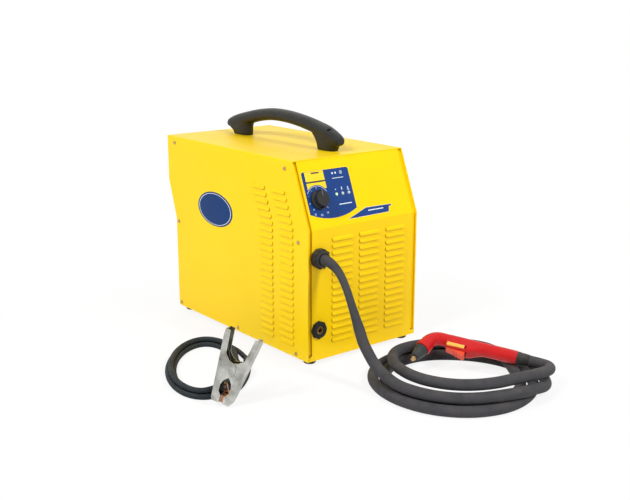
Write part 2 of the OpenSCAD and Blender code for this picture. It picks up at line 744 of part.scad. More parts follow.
module fan_guard() color(zinc)
    on_rear(fan_x, fan_z) {
        for (r = [14, 26, 38, 50, fan_side / 2 + 1])
            translate([0, 0, wire_d * 1.8]) rotate_extrude() translate([r, 0]) circle(d = wire_d);
        for (k = [0:3])
            rotate([0, 0, 45 + 90 * k]) translate([6, 0, wire_d]) rotate([0, 90, 0])
                cylinder(d = wire_d, h = (fan_side - 15) * 0.707 - 6);
        translate([0, 0, wire_d * 0.6]) cylinder(d = 20, h = wire_d * 0.9);
        // screw lugs, with their screws
        fan_corners() {
            cylinder(d = 11, h = wire_d * 1.2);
            translate([0, 0, wire_d]) cylinder(d1 = 8, d2 = 6, h = 2.8);
            translate([0, 0, -sheet_t - 12]) cylinder(d = fan_screw_d, h = sheet_t + 13);
        }
    }

// ---------- mains inlet and switch ----------
rock_deg = 9;
module on_switch() on_rear(switch_x, switch_z, rear_out) children();
module switch_frame() color(dark_plastic)
    on_switch() difference() {
        union() {
            translate([-switch_w / 2 - 1.5, -switch_l / 2 - 1.5, 0]) cube([switch_w + 3, switch_l + 3, 2]);
            translate([-switch_w / 2 + 0.2, -switch_l / 2 + 0.2, -24])
                cube([switch_w - 0.4, switch_l - 0.4, 25]);
        }
        translate([-switch_w / 2 + 2.5, -switch_l / 2 + 2.5, -12]) cube([switch_w - 5, switch_l - 5, 20]);
        translate([-20, 0, -4]) rotate([0, 90, 0]) cylinder(d = 3.2, h = 40);
    }
module switch_rocker() color([0.7, 0.08, 0.08])
    on_switch() {
        translate([-switch_w / 2 + 3, 0, -4]) rotate([rock_deg, 0, 0]) rotate([90, 0, 90])
            linear_extrude(switch_w - 6)
                polygon([[-11, 3.2], [-11, 7.4], [0, 4.4], [11, 7.4], [11, 3.2], [4, -3], [-4, -3]]);
        translate([-switch_w / 2 + 0.6, 0, -4]) rotate([0, 90, 0])
            cylinder(d = 3.2 - 2 * shaft_gap, h = switch_w - 1.2);
    }
module mains_gland() color(dark_plastic)
    on_rear(mains_gland_x, mains_gland_z)
        difference() {
            union() {
                cylinder(d = 27, h = 6, $fn = 6);
                translate([0, 0, 6]) cylinder(d = 24, h = 8);
                translate([0, 0, 14]) cylinder(d1 = 24, d2 = 15, h = 5);
                translate([0, 0, -sheet_t - 9]) cylinder(d = mains_thread_d, h = 10 + sheet_t);
                translate([0, 0, -sheet_t - 5]) cylinder(d = 27, h = 5, $fn = 6);
                for (k = [0:11])
                    rotate([0, 0, 30 * k]) translate([10.8, -1, 6]) cube([2.2, 2, 7]);
            }
            translate([0, 0, -20]) cylinder(d = mains_bore_d, h = 50);
        }

// ---------- torch ----------
// The torch lies on the hose: its handle's tail, turn, dip and roll
torch_pos = [136, -530.5, 40];
torch_yaw = 117.4;
torch_pitch = -5.8;
torch_roll = 62.7;
module on_torch()
    translate(torch_pos) rotate([torch_roll, torch_pitch, torch_yaw]) children();
bend_r2 = 24;
bend_cut = bend_r2 * tan(torch_bend / 2);
// Point and heading of the torch's centre line, s millimetres from the tail
function torch_at(s) =
    let (s1 = torch_l - bend_cut, arc = bend_r2 * torch_bend * PI / 180)
    s <= s1 ? [s, 0, 0]
    : s <= s1 + arc
        ? let (a = (s - s1) / bend_r2 * 180 / PI)
          [s1 + bend_r2 * sin(a), -bend_r2 * (1 - cos(a)), a]
        : let (k = s - s1 - arc)
          [s1 + bend_r2 * sin(torch_bend) + k * cos(torch_bend),
           -bend_r2 * (1 - cos(torch_bend)) - k * sin(torch_bend), torch_bend];
torch_total = torch_l - 2 * bend_cut + bend_r2 * torch_bend * PI / 180 + torch_head_l;
// Point of a section: width, height up, height down, and how square its lower half is
function section(a, w, up, down, q) =
    let (c = cos(a), n = sin(a), e = n < 0 ? q : 1)
    [w / 2 * sign(c) * pow(abs(c), e), n < 0 ? -down * pow(abs(n), e) : up * n];
function placed(s, p) =
    let (c = torch_at(s)) [c[0] + p[1] * sin(c[2]), p[0], c[1] + p[1] * cos(c[2])];
function torch_ring(s, w, up, down, q, n) =
    [for (k = [0:n - 1]) placed(s, section(360 * k / n, w, up, down, q))];
torch_n = 24;
neck_s = 136;
// Handle sections: [distance from the tail, width, up, down, squareness of the lower half]
handle_rings = [[0, 25, 12.5, 12.5, 1], [2, 26, 13, 13, 1], [20, 27, 13, 13.5, 1], [50, 27, 13, 13.5, 1],
                [66, 27, 13, 14.5, 0.9], [78, 27, 13, 18.5, 0.6], [86, 27, 13, 22.5, 0.45],
                [94, 27, 13, 23.5, 0.4], [126, 27, 13.2, 23.5, 0.4], [132, 26.5, 13.2, 23, 0.42],
                [136, 26, 13, 21, 0.5]];
neck_rings = [[136, 26, 13, 15, 0.8], [141, 26, 13, 13, 1], [148, 26, 13.2, 12, 1], [158, 26.5, 13.5, 12, 1],
              [166, 27, 14, 12.5, 1], [174, 27.5, 14, 13, 1], [182, 28.5, 14.3, 14.3, 1],
              [192, 30, 15, 15, 1], [197, 31, 15.5, 15.5, 1], [199, 30, 15, 15, 1]];
module torch_loft(rings, k)
    skin([for (r = rings) torch_ring(r[0], r[1] * k, r[2] * k, r[3] * k, r[4], torch_n)]);
// One half of a ring, closed along the split plane
split_gap = 0.2;
function half_ring(s, w, up, down, q, side) =
    [for (k = [0:torch_n / 2])
        let (p = section(90 - 360 * k / torch_n, w, up, down, q))
        placed(s, [side * max(p[0], split_gap / 2), p[1]])];
module half_loft(rings, k, side)
    skin([for (r = rings)
        let (h = half_ring(r[0], r[1] * k, r[2] * k, r[3] * k, r[4], side))
        side > 0 ? turned(h) : h]);
trigger_x = 132;
trigger_z = -19;
slide_x = 116;
slide_z = -17;
slide_l = 34;
slide_h = 7;
slide_travel = 4;
slide_floor = 9.6;
trigger_w = 14;
well_x = 92;
module torch_half(side)
    difference() {
        half_loft(handle_rings, torch_d / 27, side);
        // bore for the hose, open at the tail
        translate([-1, 0, 0]) rotate([0, 90, 0]) cylinder(d = torch_d - 8, h = 60);
        // trigger well, with a pocket for the switch
        translate([well_x, -trigger_w / 2 - 0.4, -30]) cube([neck_s - well_x + 2, trigger_w + 0.8, 20]);
        translate([well_x + 5, -6.2, -30]) cube([20, 12.4, 24]);
        // slot for the safety slide
        if (side > 0)
            translate([slide_x - slide_l / 2 - slide_travel - 0.4, slide_floor, slide_z - slide_h / 2 - 0.3])
                cube([slide_l + slide_travel + 0.8, 6, slide_h + 0.6]);
        translate([trigger_x, -20, trigger_z]) rotate([-90, 0, 0])
            cylinder(d = pin_d, h = 40);
        for (x = torch_screw_x)
            translate([x, 0, torch_screw_z]) rotate([90, 0, 0]) {
                translate([0, 0, -8]) cylinder(d = 3, h = 20);
                translate([0, 0, 10.5]) cylinder(d = 6.4, h = 10);
            }
    }
pin_d = 3;
torch_screw_x = [66, 84];
torch_screw_z = -1;
module torch_shell_left() color(torch_red) on_torch() torch_half(1);
module torch_shell_right() color(torch_red) on_torch() torch_half(-1);
module torch_screws() color(zinc)
    on_torch()
        for (x = torch_screw_x)
            translate([x, -10.5, torch_screw_z]) rotate([90, 0, 0]) {
                cylinder(d = 6, h = 1.6);
                translate([0, 0, -16]) cylinder(d = 2.9, h = 16);
            }
module torch_neck() color(torch_red)
    on_torch() torch_loft(neck_rings, torch_d / 27);
// Puts children at the head's end, Z towards the work
head_s = 199;
module on_head()
    on_torch()
        translate([torch_at(head_s)[0], 0, torch_at(head_s)[1]])
            rotate([0, 90 + torch_bend, 0]) children();
cup_l = 26;
tip_l = torch_total - head_s - cup_l;
module shield_cup() color(dark_plastic)
    on_head()
        difference() {
            rotate_extrude()
                polygon([[0, 0], [13, 0], [13.5, 1.5], [13.5, 6], [12.5, 7], [9.5, cup_l - 3],
                         [8.2, cup_l], [0, cup_l]]);
            translate([0, 0, cup_l - 12]) cylinder(d = 10.4, h = 14);
            // grip flutes
            for (k = [0:11])
                rotate([0, 0, 30 * k]) translate([14.6, 0, 1.5]) cylinder(d = 3.4, h = 12);
        }
module nozzle() color(copper_red)
    on_head()
        difference() {
            rotate_extrude()
                polygon([[0, cup_l - 11.7], [5, cup_l - 11.7], [5, cup_l + tip_l - 4],
                         [3.4, cup_l + tip_l], [0, cup_l + tip_l]]);
            translate([0, 0, cup_l - 12]) cylinder(d = 6.6, h = 12 + tip_l - 3);
            cylinder(d = 1.2, h = cup_l + tip_l + 1);
        }
module electrode() color(copper_red)
    on_head() {
        translate([0, 0, cup_l - 12]) cylinder(d = 5, h = 8 + tip_l - 2);
        translate([0, 0, cup_l - 4 + tip_l - 2]) cylinder(d1 = 5, d2 = 2.4, h = 1.6);
    }
module trigger() color([0.95, 0.35, 0.15])
    on_torch()
        difference() {
            union() {
                translate([0, trigger_w / 2, 0]) rotate([90, 0, 0]) linear_extrude(trigger_w)
                    polygon([[trigger_x + 1.5, trigger_z + 3.2], [trigger_x + 3.2, trigger_z],
                             [trigger_x + 2, trigger_z - 3.2], [120, -26], [108, -31], [99, -34],
                             [96, -33.4], [95.5, -30], [96, -21], [100, -19.5], [112, -18.5]]);
                translate([trigger_x, trigger_w / 2, trigger_z]) rotate([90, 0, 0])
                    cylinder(d = 6.6, h = trigger_w);
            }
            translate([trigger_x, 20, trigger_z]) rotate([90, 0, 0])
                cylinder(d = pin_d + 2 * shaft_gap, h = 40);
            // finger grooves
            for (x = [104, 110, 116])
                translate([x, 20, -34.6 + (x - 99) * 0.4]) rotate([90, 0, 0]) cylinder(d = 3, h = 40);
        }
module trigger_pin() color(zinc)
    on_torch() translate([trigger_x, slide_floor - 0.2, trigger_z]) rotate([90, 0, 0])
        cylinder(d = pin_d, h = slide_floor + 11);
module safety_slide() color([0.98, 0.75, 0.25])
    on_torch()
        difference() {
            translate([slide_x - slide_l / 2, slide_floor + 0.3, slide_z - slide_h / 2])
                cube([slide_l, 4.4, slide_h]);
            for (i = [0:4])
                translate([slide_x - 8 + 4 * i, slide_floor + 5.4, slide_z - 5]) cylinder(d = 2.4, h = 10);
        }
module torch_switch() color(dark_plastic)
    on_torch() {
        translate([98, -6, -13]) cube([18, 12, 7]);
        translate([101, -2, -14.9]) cube([3, 4, 2.4]);
    }
sleeve_l = 22;
module torch_sleeve() color(rubber_black)
    on_torch() rotate([0, -90, 0])
        difference() {
            rotate_extrude()
                polygon([[0, 0], [12.4, 0], [12.4, 5], [11.8, 6], [11.8, 12], [hose_d / 2 + 0.6, sleeve_l],
                         [0, sleeve_l]]);
            translate([0, 0, -1]) cylinder(d = hose_d - 6, h = sleeve_l + 2);
            // flex grooves
            for (z = [8, 12, 16])
                translate([0, 0, z]) rotate_extrude()
                    translate([hose_d / 2 + 2.2, 0]) circle(d = 1.6, $fn = 16);
        }

// ---------- hose and cable forms ----------
function unit(v) = v / norm(v);
// Tube swept along points; ref is a direction that the path never follows
function tube_rings(p, r, n, ref) = [for (i = [0:len(p) - 1])
    let (t = unit(p[min(i + 1, len(p) - 1)] - p[max(i - 1, 0)]),
         u = unit(cross(ref, t)), v = cross(t, u))
    [for (k = [0:n - 1]) let (a = 360 * (k + 0.5) / n) p[i] + r * (cos(a) * u + sin(a) * v)]];
module tube(p, d, n, ref) skin(tube_rings(p, d / 2, n, ref));
// Smooth value of a table at x: rows are [x, values]
function slope_at(k, i) =
    let (a = max(i - 1, 0), b = min(i + 1, len(k) - 1)) (k[b][1] - k[a][1]) / (k[b][0] - k[a][0]);
function hermite(a, b, ma, mb, h, t) =
    (2 * t * t * t - 3 * t * t + 1) * a + (t * t * t - 2 * t * t + t) * h * ma
    + (3 * t * t - 2 * t * t * t) * b + (t * t * t - t * t) * h * mb;
function row_of(k, x, i = 0) = i >= len(k) - 2 || x <= k[i + 1][0] ? i : row_of(k, x, i + 1);
function smooth(k, x) =
    let (i = row_of(k, x), h = k[i + 1][0] - k[i][0])
    hermite(k[i][1], k[i + 1][1], slope_at(k, i), slope_at(k, i + 1), h, (x - k[i][0]) / h);

// The torch hose: points down from the gland, then a coil on the floor
hose_start = [gland_x, front_y - gland_seat, z0 + gland_z];
drop_pts = [[-116, -260, 217], [-116, -272, 216], [-116.5, -291, 210], [-118, -310, 199],
            [-119.5, -328, 180], [-121, -345, 154], [-121.5, -359, 129], [-121.5, -371, 106]];
// Half widths of the flattened sheath along the free stretch, broad and thin way
drop_size = [[10.5, 10.5], [10.5, 10.5], [10.6, 10.2], [11.4, 8.8], [12, 7.4], [12.2, 6.6],
             [12, 6.6], [11.4, 8.2], [10.5, 10.5]];
drop_turn = 56;
landing_pts = [[-120, -395, 68], [-118.5, -411, 51.5]];
coil_c = [29, -478];
coil_start = 133;
rings_per_turn = 24;
// Coil stations: [turned angle, [distance from the centre, height of the hose's middle]]
coil_table = [[30, [153, 39.5]], [45, [149.5, 32.4]], [90, [147, 30]], [120, [149.5, 32.2]],
              [135, [154.5, 32]], [150, [159, 28.6]], [165, [162.5, 20]], [180, [162.5, 12.4]],
              [210, [159, 10.5]], [270, [143, 10.5]], [290, [145, 10.5]], [315, [150, 10.5]],
              [360, [157.5, 10.5]], [405, [158, 10.5]], [450, [159, 10.5]], [480, [154.5, 10.5]],
              [510, [145.5, 10.5]], [540, [139.5, 10.5]], [570, [136, 10.5]],
              [585, [131, 10.5]], [600, [125.5, 10.5]], [630, [119.5, 10.5]], [675, [127, 10.5]],
              [720, [135, 10.5]], [765, [135.5, 10.5]], [810, [136.5, 10.5]], [840, [132, 10.5]],
              [870, [122.5, 10.5]], [900, [116, 10.5]], [915, [115, 11.5]], [930, [115, 19.5]],
              [945, [117.5, 29]], [960, [121.5, 32.8]], [975, [125.5, 32.8]], [990, [130, 30.8]],
              [1020, [136, 30.6]], [1050, [133, 33.8]], [1080, [121, 39.4]], [1110, [120, 45]],
              [1140, [125, 47]], [1170, [130.5, 48.6]], [1200, [138.5, 52.6]]];
coil_first = coil_table[0][0];
coil_last = coil_table[len(coil_table) - 1][0];
function coil_point(t) =
    let (v = smooth(coil_table, t), a = coil_start + t)
    [coil_c[0] + v[0] * cos(a), coil_c[1] + v[0] * sin(a), v[1]];
coil_steps = ceil((coil_last - coil_first) / 360 * rings_per_turn);
coil_pts = [for (i = [0:coil_steps]) coil_point(coil_first + i * (coil_last - coil_first) / coil_steps)];
// Unit vector of the torch's axis, tail to head
torch_axis = [cos(torch_yaw) * cos(torch_pitch), sin(torch_yaw) * cos(torch_pitch), -sin(torch_pitch)];
tail_end = torch_pos - sleeve_l * torch_axis;
tail_start = tail_end - hose_d * torch_axis;
coil_end = coil_pts[coil_steps];
coil_heading = coil_start + coil_last + 90;
// Bend from the coil to the torch: a cubic with the coil's and the torch's headings
bend_a = coil_end + 66 * [cos(coil_heading), sin(coil_heading), 0.06];
bend_b = tail_start - 54 * torch_axis;
function cubic(a, b, c, d, t) =
    pow(1 - t, 3) * a + 3 * t * pow(1 - t, 2) * b + 3 * t * t * (1 - t) * c + t * t * t * d;
tail_pts = [for (t = [0.15, 0.3, 0.45, 0.6, 0.74, 0.88]) cubic(coil_end, bend_a, bend_b, tail_start, t)];
drop_end = drop_pts[len(drop_pts) - 1];
drop_way = unit(drop_end - drop_pts[len(drop_pts) - 2]);
hose_path = concat([drop_end, drop_end + hose_d * drop_way], landing_pts, coil_pts, tail_pts,
                   [tail_start, tail_end]);
// Least distance between the middles of runs that lie beside each other
function least_gap(p, d, far) =
    min([for (i = [0:len(p) - 1 - far]) for (j = [i + far:len(p) - 1])
        norm(p[i] - p[j]), for (i = [0:len(p) - 1 - far]) for (j = [i + far:len(p) - 2])
        norm(p[i] - (p[j] + p[j + 1]) / 2)]) - d;
echo(least_gap_of_the_hose_coil = least_gap(hose_path, hose_d, 6));
// Rings of a flattened tube, turned about its own middle
function flat_rings(p, size, n, ref, turn) = [for (i = [0:len(p) - 1])
    let (t = unit(p[min(i + 1, len(p) - 1)] - p[max(i - 1, 0)]),
         u0 = unit(cross(ref, t)), v0 = cross(t, u0),
         u = cos(turn) * u0 + sin(turn) * v0, v = cross(t, u))
    [for (k = [0:n - 1])
        p[i] + size[i][0] * cos(360 * k / n) * u + size[i][1] * sin(360 * k / n) * v]];
module hose_drop() color(dark_plastic)
    skin(flat_rings(concat([hose_start], drop_pts), drop_size * (hose_d / 21), 12, [1, 0, 0], drop_turn));
module hose_coil() color(dark_plastic)
    tube(hose_path, hose_d, 6, [0, 0, 1]);

// ---------- earth lead ----------
earth_c = [-308.5, -131];
earth_w = 72;
earth_l = 145;
earth_yaw = -32;
// Coil stations: [turned angle, [outwards from the outer turn, height of the cable's middle]]
low = cable_d / 2;
high = cable_d * 1.44;
step_in = cable_d + 1.4;
earth_table = [[20, [11, low]], [60, [4, low]], [110, [0, low]], [130, [0, low]], [315, [0, low]],
               [330, [0, low]], [345, [-1, low]], [380, [-9.5, low]], [405, [-step_in, low]],
               [425, [-step_in, low]], [645, [-step_in, low]], [665, [-step_in, low]],
               [685, [-step_in, low + 1.8]], [700, [-step_in, low + 6]], [720, [-step_in, low + 10.6]],
               [740, [-9.2, low + 11.6]], [765, [-6.6, low + 10.8]], [790, [-step_in / 2, high]],
               [815, [-step_in / 2, high]], [960, [-step_in / 2, high]], [980, [-step_in / 2, high]],
               [1000, [-step_in / 2, high + 2.4]], [1015, [-step_in / 2, high + 4.6]]];
earth_first = earth_table[0][0];
earth_last = earth_table[len(earth_table) - 1][0];
function earth_point(t) =
    let (v = smooth(earth_table, t), n = unit([earth_l * cos(t), earth_w * sin(t)]),
         x = earth_w * cos(t) + v[0] * n[0], y = earth_l * sin(t) + v[0] * n[1])
    [earth_c[0] + x * cos(earth_yaw) - y * sin(earth_yaw),
     earth_c[1] + x * sin(earth_yaw) + y * cos(earth_yaw), v[1]];
earth_steps = 67;
earth_pts = [for (i = [0:earth_steps]) earth_point(earth_first + i * (earth_last - earth_first) / earth_steps)];
plug_at = [-322, -241, 21];
plug_yaw = 34;
plug_way = [cos(plug_yaw), sin(plug_yaw), 0];
earth_path = concat(earth_pts, [plug_at - cable_d * plug_way, plug_at]);
echo(least_gap_of_the_earth_coil = least_gap(earth_path, cable_d, 6));
module earth_coil() color(rubber_black)
    tube(earth_path, cable_d, 6, [0, 0, 1]);
tail_route = [[-326, -263.5, 6], [-302, -247, 5.2], [-277.5, -225, 5.2], [-255, -199.5, 5.2],
              [-236, -172, 5.2], [-224, -147.5, 5.2]];
module earth_tail() color(rubber_black)
    tube(concat([lug_mouth, lug_mouth + (lug_barrel - 1) * lug_way], tail_route,
                [earth_pts[0] - cable_d * unit(earth_pts[1] - earth_pts[0]), earth_pts[0]]),
         cable_d, 6, [0, 0, 1]);
module on_plug() translate(plug_at) rotate([0, 0, plug_yaw]) rotate([0, 90, 0]) children();
plug_sleeve_l = 64;
plug_body_d = 14;
plug_body_l = 18;
module plug_sleeve() color(rubber_black)
    on_plug() difference() {
        rotate_extrude()
            polygon([[0, 0], [7.5, 0], [9.6, 12], [9.8, plug_sleeve_l], [0, plug_sleeve_l]]);
        translate([0, 0, plug_sleeve_l - plug_body_l]) cylinder(d = plug_body_d + 0.2, h = plug_body_l + 1);
        for (z = [16, 21, 26, 31])
            translate([0, 0, z]) rotate_extrude() translate([10.4, 0]) circle(d = 2, $fn = 16);
    }
module plug_pin() color(brass_yellow)
    on_plug() {
        translate([0, 0, plug_sleeve_l - plug_body_l]) {
            cylinder(d = plug_body_d, h = plug_body_l + 2);
            translate([0, 0, plug_body_l]) cylinder(d = plug_pin_d, h = 22);
            translate([0, 0, plug_body_l + 22]) cylinder(d1 = plug_pin_d, d2 = plug_pin_d - 2, h = 1.2);
            // key that locks in the socket's groove
            translate([-1.2, 0, plug_body_l + 13]) cube([2.4, plug_pin_d / 2 + 1.2, 6]);
        }
    }

// ---------- earth clamp ----------
clamp_pos = [-376, -291, 0.8];
clamp_yaw = -32;
clamp_lean = 19;
clamp_spin = -24;
clamp_lift = 6;
module on_clamp()
    translate(clamp_pos) rotate([0, clamp_lean, clamp_yaw]) rotate([0, 0, clamp_spin])
        translate([0, 0, clamp_lift]) children();
function spun_x(p, a) = [p[0] * cos(a) - p[1] * sin(a), p[0] * sin(a) + p[1] * cos(a), p[2]];
function leaned(p, a) = [p[0] * cos(a) + p[2] * sin(a), p[1], p[2] * cos(a) - p[0] * sin(a)];
function clamp_way(p) = spun_x(leaned(spun_x(p, clamp_spin), clamp_lean), clamp_yaw);
lug_bolt_d = 6;
lug_bolt_x = 9;
lug_bolt_z = 22;
lug_t = 2.4;
lug_x = -1;
lug_z = 7.8;
lug_barrel = 14;
// Where the cable enters its lug, and which way it leaves
lug_way = clamp_way([0, 1, 0]);
lug_mouth = clamp_pos + clamp_way([lug_x, clamp_w / 2 + lug_t + 2, lug_z + clamp_lift]);
pivot_z = 62;
// Outer edge of an arm, seen along the pin, from the jaw up to the handle
arm_edge = [[16.5, 0], [19, 5], [20.5, 16], [33.5, clamp_l - 8], [33, clamp_l]];
jaw_gap = 0.6;
// Cheek of one arm: jaw, arch, ear round the pin and handle flange
module cheek_outline()
    polygon(concat(arm_edge, [[24, clamp_l], [23, clamp_l - 8], [18.5, pivot_z + 28], [9, pivot_z + 18],
        [-6, pivot_z + 13], [-8.5, pivot_z + 2], [-7, pivot_z - 9], [2, pivot_z - 14],
        [8, pivot_z - 22], [10.5, 32], [9.5, 20], [5, 14.5], [jaw_gap + clamp_t + 3, 12],
        [jaw_gap + clamp_t + 3, 0]]));
// Strip of sheet that follows a line in the cheeks' plane
module web(line, w)
    translate([0, w / 2, 0]) rotate([90, 0, 0]) linear_extrude(w)
        polygon(concat(line, turned(moved(line, -clamp_t))));
// A pressed arm: web along the outer edge with a cheek at each side, and a folded jaw
module arm_shape(w) {
    for (s = [-1, 1])
        translate([0, s * (w / 2 - clamp_t / 2) + clamp_t / 2, 0]) rotate([90, 0, 0])
            linear_extrude(clamp_t) cheek_outline();
    web(arm_edge, w);
    translate([jaw_gap + 3, -w / 2, 0]) cube([16.5 - jaw_gap - 3, w, clamp_t]);
    translate([jaw_gap + 3, -w / 2, 0]) cube([clamp_t, w, 14]);
}
module pin_hole(d)
    translate([0, 50, pivot_z]) rotate([90, 0, 0]) cylinder(d = d, h = 100);
module clamp_arm() color(zinc)
    on_clamp() difference() {
        mirror([1, 0, 0]) arm_shape(clamp_w);
        pin_hole(clamp_pin_d);
        translate([-lug_bolt_x, 0, lug_bolt_z]) rotate([-90, 0, 0]) cylinder(d = lug_bolt_d + 0.4, h = 20);
    }
cheek_gap = 0.3;
lever_w = clamp_w - 2 * clamp_t - 2 * cheek_gap;
module clamp_lever() color(zinc)
    on_clamp() difference() {
        arm_shape(lever_w);
        pin_hole(clamp_pin_d + 2 * shaft_gap);
    }
module clamp_pin() color(steel_grey)
    on_clamp() {
        translate([0, clamp_w / 2, pivot_z]) rotate([90, 0, 0]) cylinder(d = clamp_pin_d, h = clamp_w);
        for (s = [0, 1])
            mirror([0, s, 0]) translate([0, clamp_w / 2 + 1.6, pivot_z]) rotate([90, 0, 0])
                cylinder(d1 = clamp_pin_d, d2 = clamp_pin_d + 3, h = 1.6);
    }
// Torsion spring: curls round the pin with a leg up each arm
spring_wire = 1.8;
spring_turns = 4;
spring_r = clamp_pin_d / 2 + spring_wire / 2 + 0.6;
spring_l = lever_w - 2 * clamp_t - spring_wire - 2;
spring_leg = 50;
leg_lean = 29;
curl_turns = spring_turns + (180 - 2 * leg_lean) / 360;
curl_steps = round(8 * curl_turns);
function curl_point(i) =
    let (a = leg_lean + 360 * curl_turns * i / curl_steps)
    [spring_r * cos(a), (i / curl_steps - 0.5) * spring_l, pivot_z - spring_r * sin(a)];
function leg_way(s) = [s * sin(leg_lean), 0, cos(leg_lean)];
curl_pts = concat(
    [for (k = [2:-1:1]) curl_point(0) + k * spring_leg / 2 * leg_way(1)],
    [for (i = [0:curl_steps]) curl_point(i)],
    [for (k = [1:2]) curl_point(curl_steps) + k * spring_leg / 2 * leg_way(-1)]);
echo(least_gap_of_the_clamp_spring = spring_l / curl_turns - spring_wire);
module clamp_spring() color(steel_grey)
    on_clamp() tube(curl_pts, spring_wire, 6, [0, 1, 0.02]);
pad_w = lever_w - 2 * clamp_t - 0.8;
// Copper contact with two teeth on its face, held on the jaw's fold
module contact_pad()
    difference() {
        translate([jaw_gap / 2, -pad_w / 2, 1]) cube([3 + jaw_gap / 2 - 0.05, pad_w, 13]);
        for (z = [4.5, 8, 11.5])
            translate([jaw_gap / 2 - 0.4, 20, z]) rotate([90, 45, 0]) translate([-0.8, -0.8, 0]) cube([1.6, 1.6, 40]);
    }
module clamp_contact() color(copper_red) on_clamp() mirror([1, 0, 0]) contact_pad();
module lever_contact() color(copper_red) on_clamp() contact_pad();
// Cable lug on the fixed arm's cheek: palm, bend and barrel
module cable_lug() color(copper_red)
    on_clamp() difference() {
        union() {
            translate([lug_x, clamp_w / 2, lug_z])
                rotate([0, -atan2(lug_bolt_x + lug_x, lug_bolt_z - lug_z), 0])
                    translate([-7, 0, -6.8]) cube([14, lug_t, 29]);
            translate([lug_x, clamp_w / 2 + 0.5, lug_z]) rotate([-90, 0, 0])
                cylinder(d = cable_d + 3.2, h = lug_t + lug_barrel - 0.5);
        }
        translate([lug_x, clamp_w / 2 + lug_t + 2, lug_z]) rotate([-90, 0, 0])
            cylinder(d = cable_d + 0.6, h = lug_barrel);
        translate([-lug_bolt_x, 0, lug_bolt_z]) rotate([-90, 0, 0]) cylinder(d = lug_bolt_d + 0.4, h = 40);
    }
module lug_bolt() color(zinc)
    on_clamp() translate([-lug_bolt_x, 0, lug_bolt_z]) rotate([-90, 0, 0]) {
        translate([0, 0, clamp_w / 2 - clamp_t - 4]) cylinder(d = 10, h = 4, $fn = 6);
        translate([0, 0, clamp_w / 2 - clamp_t - 1]) cylinder(d = lug_bolt_d, h = 14);
        translate([0, 0, clamp_w / 2 + lug_t]) cylinder(d = 12, h = 1.4);
        translate([0, 0, clamp_w / 2 + lug_t + 1.4]) cylinder(d = 11, h = 4.5, $fn = 6);
    }

base_tray();
front_panel();
rear_panel();
cover();
cover_screws();
carry_handle();
handle_screws();
feet();
foot_screws();
control_overlay();
side_badge();
knob();
knob_pot();
indicator_lenses();
control_board();
gland_body();
gland_nut();
earth_socket();
socket_contact();
divider_plate();
power_board();
heat_sink();
capacitors();
transformer_core();
transformer_winding();
compressor_motor();
compressor_head();
compressor_mounts();
fan_frame();
fan_rotor();
fan_guard();
switch_frame();
switch_rocker();
mains_gland();
torch_shell_left();
torch_shell_right();
torch_screws();
torch_neck();
shield_cup();
nozzle();
electrode();
trigger();
trigger_pin();
safety_slide();
torch_switch();
torch_sleeve();
hose_drop();
hose_coil();
earth_coil();
earth_tail();
plug_sleeve();
plug_pin();
cable_lug();
lug_bolt();
clamp_arm();
clamp_lever();
clamp_pin();
clamp_spring();
clamp_contact();
lever_contact();
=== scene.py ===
# %% [markdown]
# # A plasma cutter unit, dressed for its portrait
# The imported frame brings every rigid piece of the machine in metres, standing on the floor at z = 0 with the
# controls facing -Y. This notebook adds what sheet metal, nylon, rubber and copper look like, lays the hose
# and the earth lead, and models the moulded pieces finer than the frame does.

# %% Load the frame
import math
import bmesh
import bpy
import numpy as np
from mathutils import Matrix, Vector, noise


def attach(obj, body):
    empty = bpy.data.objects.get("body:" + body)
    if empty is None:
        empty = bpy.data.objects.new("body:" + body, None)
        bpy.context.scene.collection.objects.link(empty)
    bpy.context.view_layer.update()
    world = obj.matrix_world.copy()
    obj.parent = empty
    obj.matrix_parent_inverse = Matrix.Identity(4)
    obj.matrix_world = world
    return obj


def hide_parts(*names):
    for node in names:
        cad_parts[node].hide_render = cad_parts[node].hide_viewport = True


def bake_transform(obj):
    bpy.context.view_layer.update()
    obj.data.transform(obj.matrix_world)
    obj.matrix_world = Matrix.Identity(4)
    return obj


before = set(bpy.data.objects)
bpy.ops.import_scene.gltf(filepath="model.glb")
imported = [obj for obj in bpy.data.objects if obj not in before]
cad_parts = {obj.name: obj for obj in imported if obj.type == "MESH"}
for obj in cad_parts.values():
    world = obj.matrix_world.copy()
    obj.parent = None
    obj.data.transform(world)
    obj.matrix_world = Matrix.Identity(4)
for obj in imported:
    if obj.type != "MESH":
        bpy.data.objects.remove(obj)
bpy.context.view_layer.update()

MM = 0.001

# %% [markdown]
# The camera stands at the left of the controls, a little above the machine, as someone who walks up to it
# would. A 56 mm lens on a full frame keeps the housing's long sides from spreading. It could be aimed with a
# constraint, but a direction turned into a rotation needs no second object.

# %% Camera
EYE = Vector((-1.2547, -1.6725, 0.7057))
LOOK = Vector((0.6002, 0.7597, -0.2503))
LENS_MM, FILM_WIDTH_MM = 56.34, 36
camera_data = bpy.data.cameras.new("camera")
camera_data.lens = LENS_MM
camera_data.sensor_width = FILM_WIDTH_MM
camera = bpy.data.objects.new("camera", camera_data)
bpy.context.scene.collection.objects.link(camera)
camera.location = EYE
camera.rotation_mode = "QUATERNION"
camera.rotation_quaternion = LOOK.to_track_quat("-Z", "Y")
bpy.context.scene.camera = camera
print("camera at", tuple(round(v, 3) for v in EYE))

# %% [markdown]
# Every mesh here is made by code, so a few small tools come first: one that puts a mesh on a body of the
# frame, one that turns rings of points into a closed skin, and one that steps round a circle. Ready-made
# shapes could be stretched into place instead, but rings of points give round edges and bends directly.

